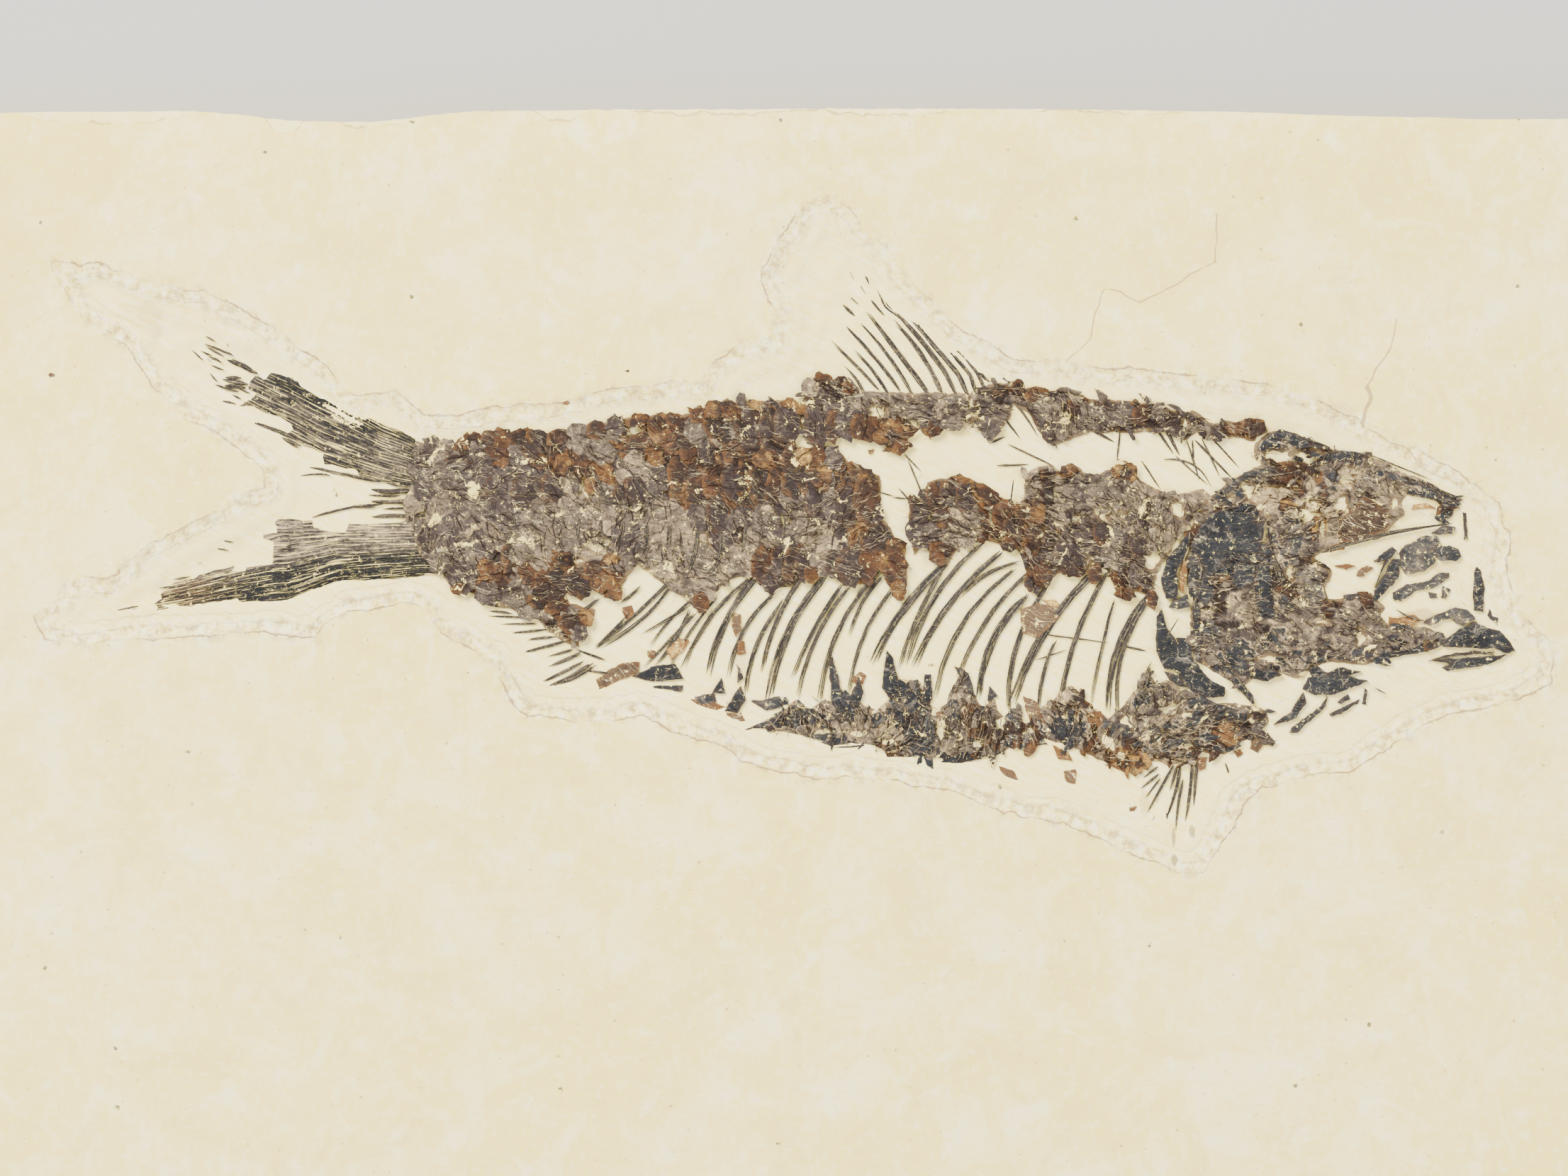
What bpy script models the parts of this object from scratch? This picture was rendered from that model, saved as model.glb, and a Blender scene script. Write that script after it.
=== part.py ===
"""A fossil herring-like fish on a slab of pale limestone, lying flat.

X runs from the tail to the snout, Y from the belly to the back and Z up out of the slab.
The origin is at the middle of the slab's underside. Lengths below are in millimetres,
and MM turns them into Blender's metres.
"""

import math

import bmesh
import bpy
from mathutils import Vector, geometry, noise

MM = 0.001

# The slab
SLAB_WIDTH = 150.0
SLAB_HEIGHT = 104.0
SLAB_THICKNESS = 8.0
EDGE_STEP = 6.0  # length of one facet of the broken edge
EDGE_ROUGHNESS = 0.55
EDGE_WAVE, EDGE_NICK = 0.13, 0.4  # how fast the broken edge wavers, and how fast its nicks follow, per mm
EDGE_CHAMFER = 0.7

# The trench that was scraped out round the fish
BANK_STEPS = ((0.3, 0.2), (0.4, 0.3))  # (inwards, downwards) of each step of the bank
FLOOR = SLAB_THICKNESS - sum(step[1] for step in BANK_STEPS)

# Heights of the fish: bones lie on the floor, and loose scales lie on the bones
REST_GAP = 0.1
BED = FLOOR + REST_GAP
RIM = BED + 0.16
CROWN = BED + 0.42
SKELETON_TOP = BED + 0.3
OVER_BED = SKELETON_TOP + REST_GAP
OVER_RIM = OVER_BED + 0.1
OVER_CROWN = OVER_BED + 0.3

TRENCH = (
    (-62.0, 38.4), (-60.5, 39.2), (-58.5, 39.1), (-55.0, 38.0), (-51.0, 37.0), (-47.6, 35.4),
    (-45.2, 34.4), (-43.9, 33.2), (-41.0, 31.7), (-38.6, 30.2), (-37.0, 28.3), (-34.5, 28.2),
    (-32.4, 27.8), (-30.9, 26.4), (-28.0, 25.9), (-25.0, 26.6), (-22.5, 27.1), (-18.0, 27.4),
    (-15.5, 28.2), (-11.5, 28.5), (-7.0, 29.2), (-5.2, 31.2), (-2.0, 32.4), (-1.1, 34.4),
    (-2.2, 37.0), (-1.6, 40.3), (0.6, 43.2), (3.0, 44.6), (5.6, 43.4), (8.6, 40.0),
    (12.0, 36.1), (15.3, 33.0), (19.0, 31.1), (24.0, 30.3), (30.0, 29.8), (37.0, 28.7),
    (43.5, 28.2), (48.7, 25.5), (52.3, 23.4), (55.6, 21.9), (58.6, 19.9), (61.0, 17.2),
    (61.7, 13.0), (62.4, 10.0), (64.6, 7.6), (65.2, 4.6), (63.4, 2.4), (59.0, 0.8),
    (54.4, 0.0), (52.4, -1.8), (49.6, -3.5), (46.2, -4.2), (42.6, -5.2), (38.9, -6.5),
    (37.7, -9.4), (35.6, -12.1), (33.2, -12.8), (31.0, -11.6), (29.4, -9.4), (24.5, -8.6),
    (20.0, -8.2), (16.0, -6.1), (10.5, -4.9), (5.0, -4.2), (0.6, -4.6), (-2.4, -3.3),
    (-5.4, -1.5), (-9.6, -0.5), (-13.4, 0.7), (-18.0, 0.0), (-22.0, 0.3), (-23.4, 2.9),
    (-25.4, 5.0), (-28.0, 7.0), (-30.4, 9.6), (-34.6, 9.6), (-38.8, 7.4), (-43.0, 7.3),
    (-48.5, 7.3), (-54.0, 7.0), (-58.8, 6.5), (-62.2, 7.3), (-63.7, 9.0), (-61.4, 10.4),
    (-60.4, 12.2), (-57.2, 12.5), (-54.2, 14.4), (-51.6, 16.3), (-48.4, 18.1), (-44.6, 19.4),
    (-44.2, 21.2), (-46.6, 23.2), (-50.6, 25.6), (-54.0, 29.4), (-57.6, 32.9), (-60.6, 35.4),
)
EDGE_CHIPS = (  # scoops broken out of the top edges: (x, y, half width, half height)
    (-41.0, 52.6, 5.0, 2.4), (21.0, 53.0, 4.0, 1.8), (76.0, 9.0, 2.4, 6.0), (-76.0, -20.0, 2.2, 7.0),
    (-24.0, -53.0, 6.5, 2.2), (38.0, -53.0, 5.0, 2.4), (-76.0, 53.0, 5.0, 3.5), (76.0, -53.0, 4.5, 5.0),
)
CHIP_DEPTH = 1.6
CHIP_TURN = 0.05

# Scaled skin
PEAK_MARGIN = 0.28  # how far inside an outline the relief keeps
SCALE_LENGTH = 2.0
SCALE_WIDTH = 1.5
SCALE_SPREAD = 0.08  # how much the scales differ in height
SCALE_LIP = 0.3  # how far a scale's free edge overhangs the foot of the next
TRUNK = (
    (-30.8, 13.2), (-31.7, 15.0), (-31.3, 18.1), (-31.8, 20.8), (-31.2, 23.4), (-28.8, 23.8),
    (-26.4, 24.3), (-22.0, 24.6), (-19.4, 24.7), (-17.8, 25.2), (-15.0, 25.4), (-13.0, 26.0),
    (-9.0, 26.1), (-6.2, 27.0), (-4.6, 27.5), (-1.6, 27.3), (0.2, 27.3), (1.3, 26.2), (1.0, 24.4),
    (0.2, 23.6), (-0.9, 24.2), (-1.3, 22.9), (0.4, 22.4), (0.9, 23.0), (2.5, 23.2), (4.9, 22.8),
    (6.0, 21.8), (7.2, 21.6), (8.2, 20.2), (8.0, 19.2), (9.0, 18.7), (10.4, 18.3), (10.1, 15.2),
    (10.3, 10.7), (9.6, 9.3), (9.1, 11.3), (8.5, 13.2), (7.8, 13.6), (7.6, 12.4), (6.9, 11.7),
    (5.8, 11.5), (4.6, 12.5), (3.8, 13.0), (2.0, 12.0), (0.4, 12.1), (-0.6, 11.5), (-2.2, 11.8),
    (-3.4, 12.7), (-5.0, 12.2), (-6.0, 10.8), (-7.0, 9.4), (-8.2, 10.1), (-9.4, 11.4),
    (-11.0, 12.5), (-12.6, 13.3), (-13.5, 12.0), (-14.4, 10.4), (-15.4, 11.2), (-16.8, 10.7),
    (-18.0, 11.4), (-18.4, 10.0), (-19.8, 9.4), (-21.6, 9.8), (-24.6, 10.2), (-26.3, 10.8),
    (-28.0, 10.8), (-28.7, 11.8), (-28.4, 12.9),
)
SHOULDER = (
    (10.9, 18.9), (12.2, 20.3), (15.3, 20.6), (17.0, 19.6), (18.5, 18.4), (19.8, 18.6),
    (20.4, 20.6), (22.3, 21.8), (23.7, 21.6), (25.2, 20.8), (28.0, 21.1), (29.4, 21.7),
    (30.3, 20.2), (32.9, 19.3), (34.0, 18.2), (33.3, 16.2), (32.0, 15.8), (31.4, 13.1),
    (31.3, 11.6), (29.0, 10.2), (27.9, 11.2), (27.5, 13.0), (26.5, 13.7), (25.2, 12.1),
    (24.5, 12.8), (23.0, 12.6), (21.7, 11.8), (20.5, 10.8), (20.3, 13.6), (19.6, 15.0),
    (17.6, 15.8), (16.4, 16.2), (15.2, 15.0), (14.3, 15.4), (13.5, 13.6), (12.2, 14.3),
    (10.9, 14.3), (10.8, 16.4),
)
NAPE = (
    (1.8, 27.5), (2.4, 28.2), (5.9, 28.0), (10.0, 27.8), (13.0, 27.6), (17.4, 27.9), (18.7, 28.8),
    (20.2, 28.8), (22.0, 27.9), (24.0, 28.4), (25.6, 27.6), (31.2, 27.2), (32.2, 26.4),
    (35.2, 26.4), (35.9, 25.6), (38.5, 25.2), (39.6, 25.7), (40.7, 25.4), (40.6, 24.6),
    (38.6, 23.1), (37.4, 23.8), (35.9, 24.7), (34.2, 24.3), (32.2, 24.8), (30.5, 24.5),
    (26.0, 25.1), (23.8, 24.3), (22.4, 23.8), (21.4, 25.2), (19.6, 26.2), (18.2, 24.7),
    (17.0, 25.3), (15.8, 25.6), (13.9, 25.1), (12.2, 24.6), (10.9, 25.2), (9.4, 24.1), (8.5, 25.2),
    (6.2, 24.3), (5.2, 25.0), (4.6, 24.1), (2.1, 24.0), (1.9, 25.9),
)

# The backbone, as a line of spool-shaped vertebrae, and the ribs that hang from it
BACKBONE_TAIL, BACKBONE_HEAD = -29.9, 33.8
BACKBONE_LEVEL = 16.5
BACKBONE_CLIMB = 1.2  # how much higher it stands at the head
CLIMB_START = 6.0
VERTEBRAE = 35
CENTRUM_RADIUS = 0.85
WAIST_RADIUS = 0.55
RAY_INSET = 0.03  # how far a rib or ray stays inside the bone it grows from, above and below
RIB_RADIUS = 0.26
RIB_SEGMENTS = 5
RIB_CROOK = 0.37  # height of a rib's bend, as a share of its drop
RIBS = (  # (head x, foot x, foot y), tail to shoulder
    (-6.2, -15.8, 6.6), (-4.0, -13.6, 6.7), (-1.6, -10.8, 5.1), (0.6, -8.6, 4.7), (1.9, -6.6, 3.7),
    (4.0, -4.9, 3.5), (5.3, -3.3, 2.8), (6.7, -1.4, 2.0), (9.0, 0.8, 3.0), (10.8, 2.9, 2.1),
    (12.5, 5.4, 2.6), (15.8, 7.6, 3.6), (17.4, 9.6, 3.4), (21.8, 11.1, 3.2), (22.9, 13.0, 3.0),
    (24.4, 15.1, 3.0), (25.6, 16.4, 1.6), (27.0, 18.9, 1.2), (29.4, 20.2, 1.6), (30.6, 22.8, 1.0),
    (31.8, 25.8, 1.6), (33.2, 27.9, 1.3),
)

# Head bones: (outline, crest that stands highest)
SKULL = (
    (36.2, 19.4), (38.4, 21.1), (40.4, 21.6), (40.4, 23.4), (41.4, 24.4), (43.0, 24.5),
    (46.3, 23.2), (49.5, 22.7), (52.0, 21.1), (55.0, 20.0), (57.3, 18.9), (57.8, 17.6),
    (57.7, 15.5), (57.0, 14.9), (57.3, 13.7), (55.0, 13.4), (52.6, 12.5), (51.2, 11.6), (49.8, 9.9),
    (50.6, 8.4), (51.8, 7.7), (50.4, 6.6), (49.6, 5.6), (46.0, 5.4), (42.2, 5.9), (42.6, 9.2),
    (41.4, 12.6), (41.3, 17.2), (39.6, 18.6),
)
SKULL_CREST = ((38.6, 20.2), (42.6, 23.6), (46.5, 22.2), (50.5, 21.4), (54.2, 19.4), (53.4, 16.2),
               (48.9, 17.1), (44.4, 17.4), (44.0, 12.6), (46.6, 8.4), (53.0, 14.4))
GILL_COVER = (
    (34.9, 16.6), (36.2, 17.9), (37.9, 18.1), (39.7, 17.8), (40.8, 16.8), (40.9, 12.4), (42.1, 9.4),
    (41.7, 6.2), (39.6, 4.4), (38.2, 5.2), (36.2, 6.6), (35.4, 8.4), (35.4, 11.0), (34.5, 13.6),
)
GILL_COVER_CREST = (
    (36.4, 16.0), (38.4, 16.2), (39.6, 13.8), (38.0, 13.2), (40.4, 10.4), (37.2, 9.8), (38.6, 7.0),
)
SHOULDER_GIRDLE = (
    (34.0, 15.7), (32.7, 14.6), (32.0, 12.4), (32.2, 10.4), (31.5, 8.7), (31.5, 7.1), (32.3, 4.6),
    (33.1, 3.2), (32.0, 2.0), (31.4, -0.8), (31.6, -2.8), (34.0, -3.2), (37.2, -2.4), (39.2, -1.2),
    (40.8, 0.2), (40.3, 1.5), (39.4, 3.9), (37.8, 4.7), (35.8, 6.1), (35.0, 8.2), (35.0, 10.9),
    (34.1, 13.4),
)
SHOULDER_GIRDLE_CREST = (
    (33.4, 13.6), (33.2, 11.4), (33.6, 8.6), (33.2, 6.4), (35.2, 4.4), (36.8, 3.0), (37.6, -0.4),
    (34.2, 0.4),
)
LOWER_JAW = (
    (50.5, 5.2), (52.2, 7.0), (54.2, 7.6), (54.4, 8.9), (56.0, 9.6), (57.6, 9.8), (58.6, 8.8), (60.2, 8.1),
    (61.3, 7.1), (62.0, 5.9), (60.0, 5.1), (58.0, 4.6), (56.0, 4.3), (55.0, 5.1), (53.0, 5.4),
)
LOWER_JAW_CREST = ((52.6, 6.2), (55.2, 7.2), (57.4, 6.9), (59.8, 6.8))
THROAT = (
    (41.9, -0.1), (42.6, 0.9), (43.6, 2.3), (44.0, 3.3), (44.6, 4.3), (47.4, 4.5), (49.4, 3.6),
    (48.4, 2.8), (46.4, 2.3), (46.0, 1.5), (44.6, 0.1), (43.0, -0.7),
)
THROAT_CREST = ((45.0, 3.4), (47.4, 3.6), (43.6, 0.9))

# Belly keel: the arm of each scute stands on it, as (foot x, tip x, tip y, width)
SCUTE_ARMS = (
    (-8.6, -12.9, 3.9, 1.1), (-8.2, -9.6, 4.9, 1.4), (-5.4, -5.4, 3.9, 1.1), (-4.4, -3.8, 3.4, 1.3),
    (-2.6, 0.6, 0.9, 1.0), (3.7, 3.4, 2.4, 1.5), (4.9, 4.0, 5.7, 1.1), (5.4, 6.5, 4.2, 1.1),
    (9.4, 8.6, 5.9, 1.2), (10.0, 9.9, 2.2, 1.4), (10.9, 11.2, 3.7, 1.1), (12.2, 12.5, 4.1, 0.9),
    (13.4, 12.7, 0.1, 1.7), (14.4, 14.7, 4.6, 1.0), (17.2, 17.6, 3.1, 0.8), (20.2, 19.4, 1.2, 1.0),
    (24.6, 22.0, 1.0, 1.5), (26.0, 24.8, 0.5, 1.0),
)
KEEL = (
    (-9.4, 3.1), (-7.4, 2.2), (-5.4, 1.2), (-3.0, 0.0), (1.0, -0.6), (5.0, -0.9), (9.0, -1.1),
    (12.4, -2.1), (16.4, -2.5), (20.4, -2.3), (24.4, -2.2), (27.6, -1.9), (29.4, -1.6),
)
KEEL_RADIUS = 0.75

# Fins: each ray runs from its foot to its tip
DORSAL_RAYS = (
    ((17.4, 29.1), (16.6, 30.1), (15.2, 31.3)),
    ((16.1, 28.5), (15.5, 29.8), (13.6, 32.4), (10.7, 36.4)),
    ((15.3, 28.5), (14.7, 29.9), (13.0, 32.2), (10.3, 36.0)),
    ((14.2, 28.5), (13.5, 29.9), (11.6, 32.8), (8.6, 37.3)),
    ((13.2, 28.5), (12.6, 29.9), (10.4, 33.0), (8.0, 36.6)),
    ((12.1, 28.5), (11.3, 29.6), (8.6, 32.7), (7.2, 35.4)),
    ((10.8, 28.5), (9.9, 29.8), (7.9, 32.2), (6.4, 34.0)),
    ((9.8, 28.5), (9.1, 29.5), (6.9, 32.0), (4.9, 34.2)), ((8.7, 28.5), (8.0, 29.4), (6.0, 31.4)),
    ((7.8, 28.5), (7.1, 29.4), (5.3, 30.8), (4.1, 32.2)), ((6.8, 28.5), (6.3, 29.2), (5.3, 30.0)),
)
ANAL_RAYS = (
    ((-15.2, 4.9), (-17.3, 3.8), (-21.9, 2.3)), ((-15.9, 5.3), (-18.2, 4.0), (-20.9, 3.3)),
    ((-16.7, 5.7), (-18.4, 5.2), (-19.9, 4.7)), ((-17.6, 6.2), (-19.8, 5.8)),
    ((-18.4, 6.7), (-20.3, 6.5), (-22.2, 6.1)), ((-19.2, 7.3), (-21.8, 7.1)),
    ((-20.1, 7.8), (-22.0, 7.8), (-23.5, 7.7)), ((-21.0, 8.3), (-23.6, 8.5)),
    ((-21.9, 8.8), (-24.8, 9.1)), ((-22.7, 9.2), (-25.2, 9.6)),
)
PELVIC_RAYS = (
    ((7.0, -2.5), (5.6, -3.0), (3.2, -3.0), (0.2, -3.4)), ((6.8, -2.2), (5.4, -2.7), (2.2, -2.6)),
    ((6.4, -1.9), (4.8, -2.3), (1.4, -2.1)),
)
PECTORAL_RAYS = (
    ((34.9, -3.7), (34.7, -7.1)), ((34.4, -3.8), (34.2, -6.0), (33.9, -8.4)),
    ((33.9, -3.9), (33.6, -6.0), (33.3, -8.9)), ((33.4, -3.9), (32.9, -7.4)),
    ((32.9, -3.9), (32.2, -5.2), (30.9, -7.5)), ((32.4, -3.9), (30.5, -6.4)),
    ((31.8, -3.7), (30.3, -5.0)),
)
RAY_RADIUS = 0.24
FOOT_RADIUS = 0.42
UPPER_LOBE = (
    (-30.6, 23.2), (-32.2, 23.9), (-34.0, 25.0), (-36.5, 26.6), (-38.0, 27.4), (-42.3, 29.5),
    (-43.3, 29.6), (-44.6, 29.4), (-47.2, 31.0), (-49.0, 32.3), (-50.3, 33.0), (-48.4, 30.4),
    (-48.0, 28.8), (-46.4, 28.0), (-45.8, 27.0), (-42.0, 25.6), (-41.8, 24.3), (-39.1, 22.9),
    (-38.9, 21.8), (-40.0, 21.3), (-36.0, 20.6), (-34.6, 19.6), (-30.8, 19.0),
)
LOWER_LOBE = (
    (-30.6, 17.6), (-34.8, 17.3), (-36.8, 16.9), (-39.6, 16.4), (-43.1, 17.2), (-43.1, 15.8),
    (-43.6, 13.5), (-46.4, 13.2), (-50.4, 12.4), (-52.6, 11.8), (-53.4, 10.3), (-57.2, 9.4),
    (-53.7, 9.1), (-49.0, 10.1), (-46.4, 10.6), (-46.3, 10.1), (-42.6, 10.2), (-40.0, 11.3),
    (-37.0, 12.0), (-32.0, 12.3), (-29.8, 12.9), (-30.4, 15.0),
)
TAIL_FAN = (-29.0, 18.0)  # where the tail rays' lines meet
LOBE_GROOVE = BED + 0.1
LOBE_RIDGE = BED + 0.28
TAIL_RAY_STEP = 1.3
TAIL_RAY_TURN = math.radians(3.2)
TAIL_SPREAD = math.radians(110)
TAIL_RAY_SPARSE = 20.0  # the distance at which the points along a ray are twice as far apart


def at(x, y, z):
    return Vector((x, y, z)) * MM


def clear_scene():
    for obj in list(bpy.data.objects):
        bpy.data.objects.remove(obj)


def finish(name, colour, roughness):
    material = bpy.data.materials.new(name)
    material.use_nodes = True
    shader = material.node_tree.nodes["Principled BSDF"]
    shader.inputs["Base Color"].default_value = (*colour, 1.0)
    shader.inputs["Roughness"].default_value = roughness
    shader.inputs["Metallic"].default_value = 0.0
    return material


def add_object(name, mesh, collection, material=None):
    obj = bpy.data.objects.new(name, mesh)
    collection.objects.link(obj)
    if material:
        mesh.materials.clear()
        mesh.materials.append(material)
    return obj


def evaluated_mesh(obj):
    """The object's mesh after its modifiers, or its curve as a mesh, with loose caps welded."""
    bpy.context.view_layer.update()
    graph = bpy.context.evaluated_depsgraph_get()
    mesh = bpy.data.meshes.new_from_object(obj.evaluated_get(graph))
    welded = bmesh.new()
    welded.from_mesh(mesh)
    bmesh.ops.remove_doubles(welded, verts=welded.verts, dist=1e-6)
    bmesh.ops.recalc_face_normals(welded, faces=welded.faces)
    welded.to_mesh(mesh)
    welded.free()
    return mesh


def broken_edge(width, height):
    """The slab's outline: a rectangle whose sides waver as a snapped edge does."""
    east, north = width / 2, height / 2
    corners = [(-east, -north), (east, -north), (east, north), (-east, north)]
    points = []
    for start, end in zip(corners, corners[1:] + corners[:1]):
        side = Vector(end) - Vector(start)
        inwards = Vector((-side.y, side.x)).normalized()
        count = round(side.length / EDGE_STEP)
        for i in range(count):
            point = Vector(start) + side * (i / count)
            waver = 0.5 + 0.5 * noise.noise((*(point * EDGE_WAVE), 3.0))
            nick = max(0.0, noise.noise((*(point * EDGE_NICK), 8.0)))
            points.append(point + inwards * EDGE_ROUGHNESS * (waver + nick))
    return points


def stepped_block(name, outline, top, steps, collection):
    """A block with a vertical wall at the top whose foot narrows in steps, each (inwards, downwards)."""
    shape = bmesh.new()
    face = shape.faces.new([shape.verts.new(at(x, y, top)) for x, y in outline])
    face.normal_update()
    if face.normal.z > 0:
        face.normal_flip()
    lid = bmesh.ops.extrude_face_region(shape, geom=[face], use_keep_orig=True)
    floor = [f for f in lid["geom"] if isinstance(f, bmesh.types.BMFace)]
    wall = top - SLAB_THICKNESS
    bmesh.ops.translate(shape, verts=floor[0].verts, vec=at(0, 0, -wall))
    for inwards, downwards in steps:
        bmesh.ops.inset_region(shape, faces=floor, thickness=inwards * MM, use_even_offset=False)
        bmesh.ops.translate(shape, verts=floor[0].verts, vec=at(0, 0, -downwards))
    bmesh.ops.recalc_face_normals(shape, faces=shape.faces)
    mesh = bpy.data.meshes.new(name)
    shape.to_mesh(mesh)
    shape.free()
    return add_object(name, mesh, collection)


def chip_cutter(number, x, y, width, height, cutters):
    bpy.ops.mesh.primitive_uv_sphere_add(segments=14, ring_count=8, radius=1.0)
    chip = bpy.context.object
    chip.name = f"chip_cutter_{number}"
    chip.scale = (width * MM, height * MM, CHIP_DEPTH * MM)
    chip.location = at(x, y, SLAB_THICKNESS)
    chip.rotation_euler.z = CHIP_TURN * number
    for owner in list(chip.users_collection):
        owner.objects.unlink(chip)
    cutters.objects.link(chip)
    return chip


def slab(collection, cutters, material):
    curve = bpy.data.curves.new("slab_outline", "CURVE")
    curve.dimensions = "2D"
    curve.fill_mode = "BOTH"
    curve.extrude = SLAB_THICKNESS / 2 * MM
    outline = broken_edge(SLAB_WIDTH, SLAB_HEIGHT)
    spline = curve.splines.new("POLY")
    spline.points.add(len(outline) - 1)
    for knot, (x, y) in zip(spline.points, outline):
        knot.co = (x * MM, y * MM, 0, 1)
    spline.use_cyclic_u = True
    sheet = add_object("slab_outline", curve, cutters)
    sheet.location.z = SLAB_THICKNESS / 2 * MM
    mesh = evaluated_mesh(sheet)
    mesh.transform(sheet.matrix_world)
    bpy.data.objects.remove(sheet)
    body = add_object("limestone_slab", mesh, collection, material)

    chamfer = body.modifiers.new("Worn edges", "BEVEL")
    chamfer.width = EDGE_CHAMFER * MM
    chamfer.segments = 2
    chamfer.limit_method = "ANGLE"
    chamfer.angle_limit = math.radians(60)
    cuts = [stepped_block("trench_cutter", TRENCH, SLAB_THICKNESS + 1.0, BANK_STEPS, cutters)]
    cuts += [chip_cutter(number, *chip, cutters) for number, chip in enumerate(EDGE_CHIPS)]
    for cutter in cuts:
        cutter.hide_render = True
        cutter.display_type = "WIRE"
        cut = body.modifiers.new(cutter.name, "BOOLEAN")
        cut.operation = "DIFFERENCE"
        cut.object = cutter
    return body


def relief_plate(name, outline, bed, rim, peaks, collection, material):
    """A closed plate with a flat bed and a top that rises from its rim to each peak (x, y, z) inside it."""
    edge = [Vector(p) for p in outline]
    inner = [p for p in peaks if inside(p[:2], edge) and edge_distance(p[:2], edge) > PEAK_MARGIN]
    flat = edge + [Vector(p[:2]) for p in inner]
    links = [(i, (i + 1) % len(edge)) for i in range(len(edge))]
    loop = [list(range(len(edge)))]
    points, _, tops, sources, _, _ = geometry.delaunay_2d_cdt(flat, links, loop, 1, 1e-6)
    heights = [rim if min(s) < len(edge) else inner[min(s) - len(edge)][2] for s in sources]
    _, _, beds, bed_sources, _, _ = geometry.delaunay_2d_cdt(edge, links, loop, 1, 1e-6)

    shape = bmesh.new()
    top = [shape.verts.new(at(p.x, p.y, z)) for p, z in zip(points, heights)]
    rim_of = {min(s): vert for s, vert in zip(sources, top)}
    bottom = [shape.verts.new(at(*edge[i], bed)) for i in range(len(edge))]
    bed_of = [bottom[min(s)] for s in bed_sources]
    for face in tops:
        shape.faces.new([top[i] for i in face])
    for face in beds:
        shape.faces.new([bed_of[i] for i in reversed(face)])
    for i, j in links:
        shape.faces.new((rim_of[i], rim_of[j], bottom[j], bottom[i]))
    bmesh.ops.recalc_face_normals(shape, faces=shape.faces)
    mesh = bpy.data.meshes.new(name)
    shape.to_mesh(mesh)
    shape.free()
    return add_object(name, mesh, collection, material)


def inside(point, loop):
    x, y = point
    hit = False
    for (ax, ay), (bx, by) in zip(loop, loop[1:] + loop[:1]):
        if (ay > y) != (by > y) and x < (bx - ax) * (y - ay) / (by - ay) + ax:
            hit = not hit
    return hit


def edge_distance(point, loop):
    spot = Vector(point)
    nearest = 1e9
    for a, b in zip(loop, loop[1:] + loop[:1]):
        foot, share = geometry.intersect_point_line(spot, a, b)
        foot = a if share < 0 else b if share > 1 else foot
        nearest = min(nearest, (spot - foot).length)
    return nearest


def scale_peaks(outline, low, high):
    """Overlapping scales in a brick pattern: each rises to its free edge, on the tail side, then drops."""
    left, right = min(p[0] for p in outline), max(p[0] for p in outline)
    bottom, top = min(p[1] for p in outline), max(p[1] for p in outline)
    peaks = []
    for row in range(math.ceil((top - bottom) / SCALE_WIDTH)):
        shift = SCALE_LENGTH / 2 * (row % 2)
        for column in range(math.ceil((right - left) / SCALE_LENGTH)):
            x = left + shift + column * SCALE_LENGTH
            y = bottom + row * SCALE_WIDTH
            spread = SCALE_SPREAD * noise.noise((x, y, 0.5))
            peaks.append((x, y, high + spread))
            peaks.append((x - SCALE_LIP, y, low))
    return peaks


def ray_ridges(outline, low, high):
    """Ridges and grooves that fan out from the tail's root."""
    peaks = []
    reach = [(Vector(p) - Vector(TAIL_FAN)).length for p in outline]
    turns = round(TAIL_SPREAD / TAIL_RAY_TURN)
    for turn in range(-turns // 2, turns // 2 + 1):
        angle = math.pi + turn * TAIL_RAY_TURN
        height = high if turn % 2 else low
        distance = min(reach)
        while distance < max(reach):
            x = TAIL_FAN[0] + distance * math.cos(angle)
            y = TAIL_FAN[1] + distance * math.sin(angle)
            peaks.append((x, y, height))
            distance += TAIL_RAY_STEP * (1 + distance / TAIL_RAY_SPARSE)
    return peaks


def backbone_y(x):
    """The backbone runs level along the tail and climbs a little towards the head."""
    share = max(0.0, (x - CLIMB_START) / (BACKBONE_HEAD - CLIMB_START))
    return BACKBONE_LEVEL + BACKBONE_CLIMB * share * share


def flat_rod(points, radii, bed, top, collection):
    """A rod along the points, pressed flat between the bed and the top."""
    curve = bpy.data.curves.new("rod", "CURVE")
    curve.dimensions = "3D"
    curve.bevel_depth = MM
    curve.bevel_resolution = 1
    curve.use_fill_caps = True
    spline = curve.splines.new("POLY")
    spline.points.add(len(points) - 1)
    for knot, (x, y), radius in zip(spline.points, points, radii):
        knot.co = (x * MM, y * MM, 0, 1)
        knot.radius = radius
    rod = add_object("rod", curve, collection)
    mesh = evaluated_mesh(rod)
    bpy.data.objects.remove(rod)
    low = min(v.co.z for v in mesh.vertices)
    high = max(v.co.z for v in mesh.vertices)
    for vert in mesh.vertices:
        share = (vert.co.z - low) / (high - low)
        vert.co.z = (bed + share * (top - bed)) * MM
    return add_object("rod", mesh, collection)


def fuse(name, pieces, collection, cutters, material):
    """One closed body out of pieces that overlap."""
    body = pieces[0]
    others = bpy.data.collections.new(f"{name}_pieces")
    cutters.children.link(others)
    for piece in pieces[1:]:
        others.objects.link(piece)
    join = body.modifiers.new("Join", "BOOLEAN")
    join.operation = "UNION"
    join.operand_type = "COLLECTION"
    join.collection = others
    mesh = evaluated_mesh(body)
    for piece in pieces:
        bpy.data.objects.remove(piece)
    bpy.data.collections.remove(others)
    return add_object(name, mesh, collection, material)


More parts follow.
